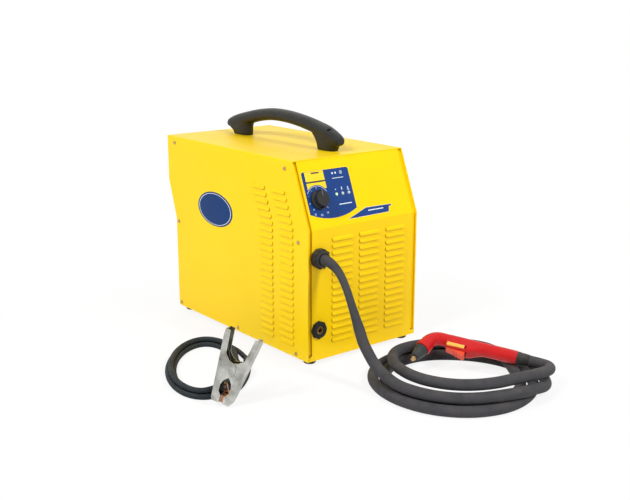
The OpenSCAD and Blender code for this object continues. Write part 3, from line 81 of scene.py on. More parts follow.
# %% Mesh tools
def new_piece(name, verts, faces, body, material=None):
    """A smooth-shaded mesh object, put on a body of the frame unless body is None."""
    mesh = bpy.data.meshes.new(name)
    mesh.from_pydata([tuple(v) for v in verts], [], faces)
    mesh.update()
    piece = bpy.data.objects.new(name.replace(" ", "_"), mesh)
    bpy.context.scene.collection.objects.link(piece)
    for polygon in mesh.polygons:
        polygon.use_smooth = True
    if material:
        mesh.materials.append(material)
    if body:
        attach(piece, body)
    return piece


def skin_faces(rings, sides):
    """Faces of a skin over rings of points, closed at both ends."""
    faces = []
    for start in range(0, (rings - 1) * sides, sides):
        faces += [(start + k, start + (k + 1) % sides, start + sides + (k + 1) % sides, start + sides + k)
                  for k in range(sides)]
    return faces + [tuple(reversed(range(sides))), tuple((rings - 1) * sides + k for k in range(sides))]


def circle(sides):
    """Cosine and sine of equal steps round a circle."""
    return [(math.cos(2 * math.pi * k / sides), math.sin(2 * math.pi * k / sides)) for k in range(sides)]


print("mesh tools ready")

# %% [markdown]
# A finish is never one flat colour. Seven small effects are shared by the finishes: a grain for the bump, a
# patchy tone, an uneven gloss, edges lightened by scuffing and by a painted highlight, painted shade in each
# corner, settled dust and the weave of the hose's sheath. Each is a node group that only puts out a value or a
# colour, and each finish places it with its own numbers. The painted shade is darkest where a point sees
# little open space, as in a corner or under the lip of a louvre.

# %% Node helpers
def effect(name, inputs, outputs):
    """An empty node group with the given sockets, and its input and output nodes."""
    tree = bpy.data.node_groups.new(name, "ShaderNodeTree")
    for label, value in inputs.items():
        kind = "NodeSocketColor" if isinstance(value, tuple) else "NodeSocketFloat"
        socket = tree.interface.new_socket(name=label, in_out="INPUT", socket_type=kind)
        socket.default_value = value
    for label, kind in outputs.items():
        tree.interface.new_socket(name=label, in_out="OUTPUT", socket_type=kind)
    return tree, tree.nodes.new("NodeGroupInput"), tree.nodes.new("NodeGroupOutput")


def add_node(tree, kind, links=None, **settings):
    """A node with its settings, and its inputs filled by name with values or with other nodes' outputs."""
    made = tree.nodes.new(kind)
    for key, value in settings.items():
        setattr(made, key, value)
    for key, value in (links or {}).items():
        if isinstance(value, bpy.types.NodeSocket):
            tree.links.new(value, made.inputs[key])
        else:
            made.inputs[key].default_value = value
    return made


def place(tree):
    return add_node(tree, "ShaderNodeTexCoord").outputs["Object"]


def speckle(tree, scale, detail=3.0, rough=0.55):
    return add_node(tree, "ShaderNodeTexNoise", {"Vector": place(tree), "Scale": scale, "Detail": detail,
                                                 "Roughness": rough}).outputs["Fac"]


def arithmetic(tree, operation, *values, clamp=False):
    made = add_node(tree, "ShaderNodeMath", dict(enumerate(values)), operation=operation)
    made.use_clamp = clamp
    return made.outputs[0]


def span(tree, value, low, high, to_low=0.0, to_high=1.0):
    return add_node(tree, "ShaderNodeMapRange", {"Value": value, "From Min": low, "From Max": high,
                                                 "To Min": to_low, "To Max": to_high}).outputs["Result"]


def blend_colour(tree, amount, first, second):
    """A Mix node set to colour: its inputs 0, 6 and 7 take the share and the two colours, 2 puts out."""
    return add_node(tree, "ShaderNodeMix", {0: amount, 6: first, 7: second}, data_type="RGBA").outputs[2]


print("node helpers ready")

# %% [markdown]
# Powder coat and moulded nylon have a fine grain, and neither their colour nor their gloss is quite even. A
# picture could carry this, but noise has no seams and no edge, so it fits a panel and a screw alike.

# %% Grain, patchy tone and uneven gloss
SWELL_SCALE, SWELL_DEPTH = 45.0, 0.6
grain, grain_in, grain_out = effect("fine grain", {"Scale": 900.0}, {"Height": "NodeSocketFloat"})
swells = arithmetic(grain, "MULTIPLY", speckle(grain, SWELL_SCALE, detail=2.0), SWELL_DEPTH)
bumps = arithmetic(grain, "ADD", speckle(grain, grain_in.outputs["Scale"]), swells)
grain.links.new(bumps, grain_out.inputs["Height"])

tone, tone_in, tone_out = effect("patchy tone", {"First": (1, 1, 1, 1), "Second": (0, 0, 0, 1),
                                                 "Scale": 20.0, "Amount": 0.5},
                                 {"Color": "NodeSocketColor"})
# Noise keeps near its middle, so that stretch of it is drawn out to the full 0 to 1
patches = span(tone, speckle(tone, tone_in.outputs["Scale"], detail=5.0, rough=0.6), 0.35, 0.7)
tone_share = arithmetic(tone, "MULTIPLY", patches, tone_in.outputs["Amount"])
mixed = blend_colour(tone, tone_share, tone_in.outputs["First"], tone_in.outputs["Second"])
tone.links.new(mixed, tone_out.inputs["Color"])

gloss, gloss_in, gloss_out = effect("uneven gloss", {"Low": 0.3, "High": 0.5, "Scale": 30.0},
                                    {"Roughness": "NodeSocketFloat"})
smears = span(gloss, speckle(gloss, gloss_in.outputs["Scale"], detail=6.0, rough=0.65), 0.3, 0.7)
spread = arithmetic(gloss, "SUBTRACT", gloss_in.outputs["High"], gloss_in.outputs["Low"])
above_low = arithmetic(gloss, "MULTIPLY", smears, spread)
gloss.links.new(arithmetic(gloss, "ADD", gloss_in.outputs["Low"], above_low), gloss_out.inputs["Roughness"])
print("grain, tone and gloss made")

# %% [markdown]
# Handling rubs a machine at its edges, and a lighter edge also stands in for the highlight that a rounded
# edge catches; shade that falls in a corner is painted in as a darker colour. Both could be painted by hand
# for each piece. Here an edge is found where a rounded normal leaves the true one, and a corner where a point
# sees little open space, so every piece gets its own without a picture painted for it.

# %% Scuffed and highlit edges, painted corner shade
# Edges lighten where a rounded normal leaves the true one: scuffing, and a painted edge highlight
worn_and_lit, worn_and_lit_in, worn_and_lit_out = effect("worn edges", {"Radius": 0.0006, "Amount": 0.5},
                                 {"Mask": "NodeSocketFloat"})
rounded = add_node(worn_and_lit, "ShaderNodeBevel", {"Radius": worn_and_lit_in.outputs["Radius"]}, samples=4)
facing = add_node(worn_and_lit, "ShaderNodeVectorMath", operation="DOT_PRODUCT")
worn_and_lit.links.new(rounded.outputs["Normal"], facing.inputs[0])
worn_and_lit.links.new(add_node(worn_and_lit, "ShaderNodeNewGeometry").outputs["Normal"], facing.inputs[1])
FLAT_DOT, WORN_AND_LIT_DOT = 0.99, 0.86
edge = span(worn_and_lit, facing.outputs["Value"], FLAT_DOT, WORN_AND_LIT_DOT)
broken = span(worn_and_lit, speckle(worn_and_lit, 160.0, detail=4.0, rough=0.7), 0.42, 0.62)
wear_and_light = arithmetic(worn_and_lit, "MULTIPLY", edge, broken)
wear_and_edge_highlight = arithmetic(worn_and_lit, "MULTIPLY", wear_and_light, worn_and_lit_in.outputs["Amount"], clamp=True)
worn_and_lit.links.new(wear_and_edge_highlight, worn_and_lit_out.inputs["Mask"])

# Painted shade: the colour darkens where a point sees little open space, in a corner or under a lip
corner, corner_in, corner_out = effect("dark corners", {"Reach": 0.004, "Amount": 0.7},
                                       {"Mask": "NodeSocketFloat"})
closed = add_node(corner, "ShaderNodeAmbientOcclusion", {"Distance": corner_in.outputs["Reach"]},
                  samples=12, only_local=True)
OPEN_ENOUGH, SHUT_IN = 0.94, 0.5
shut_in = span(corner, closed.outputs["AO"], OPEN_ENOUGH, SHUT_IN)
painted_corner_shade = arithmetic(corner, "MULTIPLY", shut_in, corner_in.outputs["Amount"], clamp=True)
corner.links.new(painted_corner_shade, corner_out.inputs["Mask"])
print("edges and corners made")

# %% [markdown]
# Dust settles on what faces up. The hose has a woven sheath, whose threads cross at a steady pitch. A
# picture of cloth could be wrapped round it, but two sines, one round the hose and one along it, give that
# weave without a seam, from the distances that the hose's mesh carries.

# %% Settled dust and woven sheath
dusty, dusty_in, dusty_out = effect("settled dust", {"Amount": 0.2, "Scale": 25.0},
                                    {"Mask": "NodeSocketFloat"})
upward = add_node(dusty, "ShaderNodeSeparateXYZ",
                  {"Vector": add_node(dusty, "ShaderNodeNewGeometry").outputs["Normal"]}).outputs["Z"]
TOO_STEEP, LEVEL = 0.1, 0.95
lying = span(dusty, upward, TOO_STEEP, LEVEL)
clouds = span(dusty, speckle(dusty, dusty_in.outputs["Scale"], detail=6.0, rough=0.7), 0.35, 0.75)
drifts = arithmetic(dusty, "MULTIPLY", lying, clouds)
settled_dust = arithmetic(dusty, "MULTIPLY", drifts, dusty_in.outputs["Amount"], clamp=True)
dusty.links.new(settled_dust, dusty_out.inputs["Mask"])

weave, weave_in, weave_out = effect("woven sheath", {"Around": 60.0, "Along": 1100.0},
                                    {"Height": "NodeSocketFloat"})
along_hose = add_node(weave, "ShaderNodeAttribute", attribute_name="along").outputs["Vector"]
woven_at = add_node(weave, "ShaderNodeSeparateXYZ", {"Vector": along_hose})
threads = arithmetic(weave, "MULTIPLY", weave_in.outputs["Around"], 2 * math.pi)
round_it = arithmetic(weave, "MULTIPLY", woven_at.outputs["X"], threads)
down_it = arithmetic(weave, "MULTIPLY", woven_at.outputs["Y"], weave_in.outputs["Along"])
crossing = arithmetic(weave, "MULTIPLY", arithmetic(weave, "SINE", round_it),
                      arithmetic(weave, "SINE", down_it))
weave.links.new(crossing, weave_out.inputs["Height"])
print("effects:", len(bpy.data.node_groups))

# %% [markdown]
# One function builds a finish from a maker's description: its colour and how patchy it is, how glossy, how
# deep its grain, what shows where its edges rub and catch a painted highlight, which colour its painted
# corner shade takes, and how much dust lies on it. Each could have its own node tree, but shared groups keep
# them alike where the real ones are. The shader itself stays in the material, with plain numbers on the
# sockets that never vary.

# %% Finish builder
def shade(red, green, blue):
    """A colour written in 0 to 255, as the linear values that a socket takes."""
    shares = [v / 255 for v in (red, green, blue)]
    return tuple(((v + 0.055) / 1.055) ** 2.4 if v > 10 / 255 else v / 12.92 for v in shares) + (1.0,)


COAT_ROUGH, CORNER_SHADE_AMOUNT, GRAIN_IN_WEAVE, GLOSS_PER_PATCH = 0.12, 0.85, 0.5, 1.7
DUST_SCALE, DUST_DULLS = 25.0, 0.3
DUST_COLOUR = shade(176, 170, 160)


def finish_of(name, colour, other, patch, patchy, rough, metallic=0.0, coat=0.0, shine=0.5, grain_size=900.0,
              grain_depth=0.02, wear_and_highlight=None, wear_and_light_width=0.6, wear_and_light_amount=0.5, corner_shade=None, reach=4.0, dust=0.1,
              woven=None, glow=0.0):
    """A material from a maker's description. Edge width, painted shade reach and grain depth are in mm."""
    made = bpy.data.materials.new(name)
    made.use_nodes = True
    tree = made.node_tree
    shader = tree.nodes["Principled BSDF"]
    shader.inputs["Metallic"].default_value = metallic
    shader.inputs["Coat Weight"].default_value = coat
    shader.inputs["Specular IOR Level"].default_value = shine
    shader.inputs["Coat Roughness"].default_value = COAT_ROUGH

    def filled(group, values):
        made_node = tree.nodes.new("ShaderNodeGroup")
        made_node.node_tree = group
        for key, value in values.items():
            made_node.inputs[key].default_value = value
        return made_node.outputs[0]

    colour_now = filled(tone, {"First": colour, "Second": other, "Scale": patch, "Amount": patchy})
    rough_now = filled(gloss, {"Low": rough[0], "High": rough[1], "Scale": patch * GLOSS_PER_PATCH})
    # Lighter edges: scuffing, and a painted highlight where a rounded edge would catch light
    if wear_and_highlight:
        wear_and_highlight_share = filled(worn_and_lit, {"Radius": wear_and_light_width * MM, "Amount": wear_and_light_amount})
        colour_now = blend_colour(tree, wear_and_highlight_share, colour_now, wear_and_highlight)
    # Painted shade: where a point sees little open space, the colour darkens towards the given one
    if corner_shade:
        corner_shade_share = filled(corner, {"Reach": reach * MM, "Amount": CORNER_SHADE_AMOUNT})
        colour_now = blend_colour(tree, corner_shade_share, colour_now, corner_shade)
    if dust:
        settled = filled(dusty, {"Amount": dust, "Scale": DUST_SCALE})
        colour_now = blend_colour(tree, settled, colour_now, DUST_COLOUR)
        dulled = arithmetic(tree, "MULTIPLY", settled, DUST_DULLS)
        rough_now = arithmetic(tree, "ADD", rough_now, dulled, clamp=True)
    height = filled(grain, {"Scale": grain_size})
    if woven:
        height = arithmetic(tree, "ADD", arithmetic(tree, "MULTIPLY", height, GRAIN_IN_WEAVE),
                            filled(weave, {"Around": woven[0], "Along": woven[1]}))
    bump = add_node(tree, "ShaderNodeBump", {"Height": height, "Strength": 1.0, "Distance": grain_depth * MM})
    tree.links.new(colour_now, shader.inputs["Base Color"])
    tree.links.new(rough_now, shader.inputs["Roughness"])
    tree.links.new(bump.outputs["Normal"], shader.inputs["Normal"])
    if glow:
        tree.links.new(colour_now, shader.inputs["Emission Color"])
        shader.inputs["Emission Strength"].default_value = glow
    return made


print("finish builder ready")

# %% [markdown]
# The housing is powder coated yellow sheet. The cover's yellow is a slightly lighter copy of the panels',
# painted light for the side and top that the lamps light more. The moulded and rubber pieces follow. Their
# specular level is low, because a black that mirrors a white room would turn grey.

# %% Paint, nylon and rubber
# The corner colours are painted shade; the lighter edge colours are scuffing and a painted highlight
paint_front = finish_of("yellow paint", shade(252, 210, 2), shade(249, 202, 1), 6.0, 0.5, (0.34, 0.46),
                        shine=0.22, grain_size=420.0, grain_depth=0.012, wear_and_highlight=shade(255, 226, 90),
                        wear_and_light_width=0.7, wear_and_light_amount=0.6, corner_shade=shade(160, 112, 0), reach=5.0, dust=0.04)
# Painted light: this yellow is a lighter copy of the panels' yellow, for the lit side and top
lit_cover_paint = finish_of("lighter lit cover paint", shade(253, 214, 2), shade(251, 207, 1), 5.0, 0.5,
                        (0.34, 0.46), shine=0.22, grain_size=420.0, grain_depth=0.012,
                        wear_and_highlight=shade(255, 236, 110), wear_and_light_width=0.7, wear_and_light_amount=0.6,
                        corner_shade=shade(196, 146, 0), reach=4.0, dust=0.04)
nylon = finish_of("black nylon", shade(28, 28, 29), shade(38, 38, 38), 40.0, 0.5, (0.36, 0.5), shine=0.4,
                  grain_size=1500.0, grain_depth=0.06, wear_and_highlight=shade(92, 92, 92), wear_and_light_width=0.7,
                  wear_and_light_amount=0.4, dust=0.08)
handle_nylon = finish_of("handle nylon", shade(24, 25, 24), shade(33, 33, 31), 30.0, 0.6, (0.36, 0.5),
                         shine=0.36, grain_size=1300.0, grain_depth=0.09, wear_and_highlight=shade(84, 84, 84),
                         wear_and_light_width=1.0, wear_and_light_amount=0.3, dust=0.1)
rubber = finish_of("black rubber", shade(34, 34, 34), shade(52, 51, 50), 50.0, 0.6, (0.6, 0.8),
                   grain_size=1200.0, grain_depth=0.05, dust=0.12)
cable_rubber = finish_of("cable rubber", shade(34, 41, 45), shade(46, 52, 56), 60.0, 0.5, (0.6, 0.75),
                         shine=0.2, grain_size=700.0, grain_depth=0.05, dust=0.08)
sheath = finish_of("woven hose sheath", shade(62, 62, 66), shade(74, 71, 71), 35.0, 0.7, (0.62, 0.8),
                   shine=0.18, grain_size=500.0, grain_depth=0.12, dust=0.12, woven=(52.0, 4400.0))
print("paint, nylon and rubber:", len(bpy.data.materials), "finishes so far")

# %% [markdown]
# Metals show by what they mirror, so their gloss varies more than their colour. The clamp is pressed from
# thin plated sheet that has seen use, and so it is the patchiest. Its near-white edges are scuffs and a
# painted highlight, and its dark hollows are painted shade.

# %% Metals
zinc = finish_of("zinc plate", shade(182, 183, 180), shade(150, 152, 150), 80.0, 0.6, (0.24, 0.42),
                 metallic=1.0, grain_size=300.0, grain_depth=0.02, wear_and_highlight=shade(226, 226, 224),
                 wear_and_light_width=0.4, wear_and_light_amount=0.6, dust=0.05)
# Painted highlight and shade: the near-white edge colour and the dark corner colour with a wide reach
pressed_steel = finish_of("pressed clamp steel", shade(206, 207, 200), shade(112, 111, 104), 38.0, 0.95,
                          (0.2, 0.42), metallic=1.0, grain_size=260.0, grain_depth=0.03,
                          wear_and_highlight=shade(250, 250, 246), wear_and_light_width=1.1, wear_and_light_amount=0.9,
                          corner_shade=shade(44, 42, 38), reach=7.0, dust=0.03)
spring_steel = finish_of("spring steel", shade(120, 121, 124), shade(98, 98, 100), 90.0, 0.5, (0.25, 0.4),
                         metallic=1.0, grain_size=600.0, grain_depth=0.01, dust=0.0)
screw_plate = finish_of("passivated screws", shade(214, 186, 132), shade(186, 160, 116), 200.0, 0.7,
                        (0.28, 0.45), metallic=1.0, grain_size=600.0, grain_depth=0.02,
                        wear_and_highlight=shade(226, 214, 190), wear_and_light_amount=0.5, dust=0.04)
brass = finish_of("turned brass", shade(212, 176, 106), shade(184, 146, 84), 120.0, 0.6, (0.2, 0.38),
                  metallic=1.0, grain_size=500.0, grain_depth=0.015, wear_and_highlight=shade(236, 208, 150),
                  wear_and_light_width=0.4, dust=0.0)
copper = finish_of("dull copper", shade(196, 150, 126), shade(150, 108, 86), 120.0, 0.6, (0.22, 0.4),
                   metallic=1.0, grain_size=500.0, grain_depth=0.015, wear_and_highlight=shade(240, 196, 168),
                   wear_and_light_width=0.4, dust=0.0)
tip_copper = finish_of("used nozzle copper", shade(214, 176, 126), shade(150, 112, 82), 220.0, 0.6,
                       (0.25, 0.45), metallic=1.0, grain_size=700.0, grain_depth=0.02, dust=0.0)
print("metals:", len(bpy.data.materials), "finishes so far")

# %% [markdown]
# The torch's colours tell the hand what to press: red to hold, orange to cut, yellow for the safety catch.
# The films are flat printed colours, and only the lit lens gives off a little light of its own.

# %% Torch colours, films, prints and lenses
torch_red = finish_of("torch red nylon", shade(200, 26, 28), shade(182, 18, 22), 22.0, 0.5, (0.36, 0.5),
                      shine=0.35, grain_size=1400.0, grain_depth=0.04, wear_and_highlight=shade(232, 96, 88),
                      wear_and_light_width=0.7, wear_and_light_amount=0.4, dust=0.04)
trigger_orange = finish_of("trigger orange", shade(232, 78, 44), shade(218, 62, 36), 40.0, 0.5,
                           (0.34, 0.46), grain_size=1400.0, grain_depth=0.03, wear_and_highlight=shade(246, 140, 110),
                           wear_and_light_amount=0.4, dust=0.02)
catch_yellow = finish_of("catch yellow", shade(252, 190, 84), shade(244, 170, 60), 60.0, 0.5, (0.34, 0.46),
                         grain_size=1400.0, grain_depth=0.03, wear_and_highlight=shade(255, 220, 150), wear_and_light_amount=0.4,
                         dust=0.02)
cup_black = finish_of("heat-proof cup", shade(40, 46, 46), shade(56, 60, 60), 70.0, 0.6, (0.4, 0.6),
                      grain_size=900.0, grain_depth=0.05, wear_and_highlight=shade(104, 108, 106), wear_and_light_amount=0.5,
                      dust=0.05)
film_blue = finish_of("blue film", shade(2, 56, 124), shade(1, 48, 112), 15.0, 0.5, (0.34, 0.42), coat=0.1,
                      shine=0.3, grain_size=1800.0, grain_depth=0.008, dust=0.05)
badge_blue = finish_of("domed blue badge", shade(6, 54, 114), shade(4, 46, 100), 15.0, 0.5, (0.2, 0.3),
                       shine=0.12, grain_size=200.0, grain_depth=0.01, dust=0.03)
film_yellow = finish_of("yellow film print", shade(250, 212, 20), shade(246, 204, 14), 15.0, 0.5,
                        (0.34, 0.42), coat=0.3, grain_size=1800.0, grain_depth=0.008, dust=0.02)
print_white = finish_of("white print", shade(226, 234, 238), shade(206, 216, 224), 60.0, 0.5, (0.4, 0.5),
                        grain_size=1800.0, grain_depth=0.005, dust=0.0)
faint_print = finish_of("faint print", shade(112, 112, 110), shade(92, 92, 90), 60.0, 0.5, (0.4, 0.5),
                        grain_size=1800.0, grain_depth=0.005, dust=0.0)
print_dark = finish_of("dark print", shade(40, 48, 52), shade(52, 60, 64), 60.0, 0.5, (0.4, 0.5),
                       grain_size=1800.0, grain_depth=0.005, dust=0.0)
lens_green = finish_of("lit green lens", shade(196, 250, 190), shade(170, 240, 170), 200.0, 0.5,
                       (0.08, 0.14), coat=1.0, grain_size=600.0, grain_depth=0.005, dust=0.0, glow=0.25)
lens_clear = finish_of("unlit lens", shade(206, 214, 222), shade(188, 198, 210), 200.0, 0.5, (0.08, 0.14),
                       coat=1.0, grain_size=600.0, grain_depth=0.005, dust=0.0)
print("colours and prints:", len(bpy.data.materials), "finishes so far")

# %% [markdown]
# Little of the inside shows through the louvres and the fan guard, but it is there, and it is dustier than
# the rest, since the fan draws air through it.

# %% Inside finishes
board_green = finish_of("circuit board", shade(20, 92, 52), shade(14, 76, 44), 90.0, 0.6, (0.3, 0.5),
                        dust=0.15)
bare_alloy = finish_of("cast alloy", shade(176, 178, 182), shade(150, 152, 156), 60.0, 0.6, (0.35, 0.55),
                       metallic=1.0, grain_size=500.0, grain_depth=0.04, dust=0.15)
can_sleeve = finish_of("capacitor sleeve", shade(30, 34, 58), shade(24, 28, 48), 50.0, 0.5, (0.25, 0.4),
                       dust=0.12)
core_steel = finish_of("laminated core", shade(120, 120, 124), shade(92, 86, 80), 50.0, 0.6, (0.4, 0.6),
                       metallic=1.0, dust=0.15)
winding = finish_of("enamelled winding", shade(168, 92, 48), shade(140, 72, 36), 150.0, 0.6, (0.3, 0.45),
                    metallic=0.7, dust=0.1)
motor_paint = finish_of("motor paint", shade(40, 40, 42), shade(52, 52, 54), 40.0, 0.5, (0.4, 0.6),
                        dust=0.15)
rocker_red = finish_of("rocker red", shade(176, 24, 24), shade(156, 18, 18), 90.0, 0.5, (0.2, 0.3),
                       coat=0.4, dust=0.03)
print("finishes:", len(bpy.data.materials))

# %% [markdown]
# The rigid pieces keep their shapes and only take a finish. The zinc pressings, turned contacts and moulded
# housings each get the one that their makers would have used. One table from finish to pieces is easier to
# check for a piece that was forgotten than a line for each piece.

# %% Dress the rigid pieces
dressed = {
    paint_front: ["front_panel", "rear_panel", "base_tray"], lit_cover_paint: ["cover"],
    nylon: ["knob", "gland_body", "gland_nut", "earth_socket", "fan_frame", "fan_rotor", "switch_frame",
            "mains_gland", "torch_switch"],
    handle_nylon: ["carry_handle"],
    rubber: ["feet", "torch_sleeve", "plug_sleeve", "compressor_mounts"],
    zinc: ["handle_screws", "foot_screws", "knob_pot", "fan_guard", "torch_screws", "trigger_pin", "lug_bolt",
           "divider_plate", "clamp_pin"],
    pressed_steel: ["clamp_arm", "clamp_lever"], spring_steel: ["clamp_spring"],
    screw_plate: ["cover_screws"], brass: ["socket_contact", "plug_pin"],
    copper: ["clamp_contact", "lever_contact", "cable_lug"], tip_copper: ["nozzle", "electrode"],
    torch_red: ["torch_shell_left", "torch_shell_right", "torch_neck"], trigger_orange: ["trigger"],
    catch_yellow: ["safety_slide"], cup_black: ["shield_cup"], film_blue: ["control_overlay"],
    badge_blue: ["side_badge"], lens_clear: ["indicator_lenses"],
    board_green: ["control_board", "power_board"], bare_alloy: ["heat_sink", "compressor_head"],
    can_sleeve: ["capacitors"], core_steel: ["transformer_core"], winding: ["transformer_winding"],
    motor_paint: ["compressor_motor"], rocker_red: ["switch_rocker"],
    sheath: ["hose_drop", "hose_coil"], cable_rubber: ["earth_coil", "earth_tail"],
}
for material, names in dressed.items():
    for name in names:
        node_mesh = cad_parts[name].data
        node_mesh.materials.clear()
        node_mesh.materials.append(material)
undressed = set(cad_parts) - {name for names in dressed.values() for name in names}
print("undressed nodes:", sorted(undressed))

# %% [markdown]
# A hose or a lead lies along a smooth line through listed points. A curve object could draw that
# line, but its handles overshoot where the points are unevenly spaced. Here the square roots of the
# distances set how fast each stretch is run through, which keeps it calm. The formula for one smooth step
# also reads every table further down.

# %% Smooth lines
def eased(t, start, end, leaving, arriving):
    """The value at share t of a smooth step from start to end, given its slopes at both."""
    return (start * (2 * t**3 - 3 * t**2 + 1) + leaving * (t**3 - 2 * t**2 + t)
            + end * (3 * t**2 - 2 * t**3) + arriving * (t**3 - t**2))


def through(points, steps):
    """A smooth line through the points, with steps pieces between each two."""
    points = [Vector(point) for point in points]
    longer = [points[0] * 2 - points[1]] + points + [points[-1] * 2 - points[-2]]
    line = []
    for before, start, end, after in zip(longer, longer[1:], longer[2:], longer[3:]):
        back, gap, ahead = [max((v - u).length, 1e-9) ** 0.5
                            for u, v in ((before, start), (start, end), (end, after))]
        leaving = (end - start) / gap - (end - before) / (back + gap) + (start - before) / back
        arriving = (end - start) / gap - (after - start) / (gap + ahead) + (after - end) / ahead
        line += [eased(s / steps, start, end, leaving * gap, arriving * gap) for s in range(steps)]
    return line + [points[-1]]


def line_length(line):
    return sum((b - a).length for a, b in zip(line, line[1:]))


print("smooth lines ready")

# %% [markdown]
# A curve with a bevel could make a tube round such a line, but a mesh made ring by ring can also flatten
# where a sheath folds, and can carry the distance along it for the weave. Each ring has to turn as little
# as possible from the one before, or the tube would twist.

# %% Tubes
def frames_along(line, first_across):
    """Across and up directions along a line, turned as little as possible from ring to ring."""
    across = first_across
    result = []
    for i in range(len(line)):
        way = (line[min(i + 1, len(line) - 1)] - line[max(i - 1, 0)]).normalized()
        across = (across - way * across.dot(way)).normalized()
        result.append((way, across, way.cross(across)))
    return result


def tube_piece(name, line, size, sides, body, material, first_across, ripple=0.0, ripple_scale=60.0):
    """A tube whose ring i has the half widths size(i), with the distance along it kept for its weave."""
    verts, dist = [], [0.0]
    for a, b in zip(line, line[1:]):
        dist.append(dist[-1] + (b - a).length)
    for i, (way, across, up) in enumerate(frames_along(line, first_across)):
        broad, thin = size(i)
        for k in range(sides):
            angle = 2 * math.pi * k / sides
            out = across * (broad * math.cos(angle)) + up * (thin * math.sin(angle))
            if ripple:
                at = Vector((math.cos(angle) * 1.5, math.sin(angle) * 1.5, dist[i] * ripple_scale))
                out = out * (1 - ripple * (0.5 + 0.5 * noise.noise(at)))
            verts.append(line[i] + out)
    piece = new_piece(name, verts, skin_faces(len(line), sides), body, material)
    along = piece.data.attributes.new("along", "FLOAT_VECTOR", "CORNER")
    values = np.zeros((len(piece.data.loops), 3), np.float32)
    for polygon in piece.data.polygons:
        # A face over the seam counts on past the full turn, so that the weave doesn't run back across it
        ks = [piece.data.loops[j].vertex_index % sides for j in polygon.loop_indices]
        wraps = max(ks) - min(ks) > sides / 2
        for j, k in zip(polygon.loop_indices, ks):
            ring = piece.data.loops[j].vertex_index // sides
            values[j] = ((k + sides if wraps and k < sides / 2 else k) / sides, dist[ring], 0)
    along.data.foreach_set("vector", values.ravel())
    return piece


print("tube tools ready")

# %% [markdown]
# The lay of a coil, the swell of a grip and the sections of a torch are easiest to judge as short tables of
# values at chosen stations. They could be formulas, but a table can be read against the real thing row by
# row. One function reads any of them smoothly, and another turns a point round the upright axis.

# %% Smooth tables
def table_value(table, x):
    """Smooth value at x of a table whose rows are (x, values)."""
    last = len(table) - 1
    i = next((k for k in range(last) if x <= table[k + 1][0]), last - 1)

    def slope(k):
        a, b = max(k - 1, 0), min(k + 1, last)
        return (np.array(table[b][1]) - np.array(table[a][1])) / (table[b][0] - table[a][0])

    width = table[i + 1][0] - table[i][0]
    return eased((x - table[i][0]) / width, np.array(table[i][1]), np.array(table[i + 1][1]),
                 slope(i) * width, slope(i + 1) * width)


def turned(x, y, degrees):
    c, s = math.cos(math.radians(degrees)), math.sin(math.radians(degrees))
    return x * c - y * s, x * s + y * c


print("table reader ready")

# %% [markdown]
# The torch hose leaves its gland, sags in a free bend, and lands on its own coil. The coil is a table of
# distances and heights round one centre, so that every turn rests beside or on the one before. From the top
# turn the hose swings up into the torch's tail. A simulation could drop the hose, but it has to lie where
# the frame's own hose lies, so its route repeats the frame's points.

# %% Route of the torch hose
HOSE_D, HOSE_STEPS = 21, 8
FREE_STRETCH = [(-116, -234, 217), (-116, -260, 217), (-116, -272, 216), (-116.5, -291, 210),
                (-118, -310, 199), (-119.5, -328, 180), (-121, -345, 154), (-121.5, -359, 129),
                (-121.5, -371, 106)]
LANDING = [(-120, -395, 68), (-118.5, -411, 51.5)]
COIL = [(30, (153, 39.5)), (45, (149.5, 32.4)), (90, (147, 30)), (120, (149.5, 32.2)), (135, (154.5, 32)),
        (150, (159, 28.6)), (165, (162.5, 20)), (180, (162.5, 12.4)), (210, (159, 10.5)),
        (270, (143, 10.5)), (290, (145, 10.5)), (315, (150, 10.5)), (360, (157.5, 10.5)),
        (405, (158, 10.5)), (450, (159, 10.5)), (480, (154.5, 10.5)), (510, (145.5, 10.5)),
        (540, (139.5, 10.5)), (570, (136, 10.5)), (585, (131, 10.5)), (600, (125.5, 10.5)),
        (630, (119.5, 10.5)), (675, (127, 10.5)), (720, (135, 10.5)), (765, (135.5, 10.5)),
        (810, (136.5, 10.5)), (840, (132, 10.5)), (870, (122.5, 10.5)), (900, (116, 10.5)),
        (915, (115, 11.5)), (930, (115, 19.5)), (945, (117.5, 29)), (960, (121.5, 32.8)),
        (975, (125.5, 32.8)), (990, (130, 30.8)), (1020, (136, 30.6)), (1050, (133, 33.8)),
        (1080, (121, 39.4)), (1110, (120, 45)), (1140, (125, 47)), (1170, (130.5, 48.6)),
        (1200, (138.5, 52.6))]
TORCH_AT = Vector((136, -530.5, 40))
TORCH_YAW, TORCH_PITCH, TORCH_ROLL = 117.4, -5.8, 62.7
COIL_CENTRE, COIL_FACES = (29, -478), 133
COIL_FIRST, COIL_LAST, COIL_STEPS_A_TURN = 30, 1200, 24
TAIL_SUNK, TAIL_RISE, TAIL_REACH = 22, 0.06, (66, 54)
TAIL_SHARES = (0.15, 0.3, 0.45, 0.6, 0.74, 0.88)
to_torch = (Matrix.Translation(TORCH_AT) @ Matrix.Rotation(math.radians(TORCH_YAW), 4, "Z")
            @ Matrix.Rotation(math.radians(TORCH_PITCH), 4, "Y")
            @ Matrix.Rotation(math.radians(TORCH_ROLL), 4, "X"))
torch_axis = (to_torch.to_3x3() @ Vector((1, 0, 0))).normalized()


def coil_at(turn):
    distance, height = table_value(COIL, turn)
    x, y = turned(distance, 0, COIL_FACES + turn)
    return Vector((COIL_CENTRE[0] + x, COIL_CENTRE[1] + y, height))


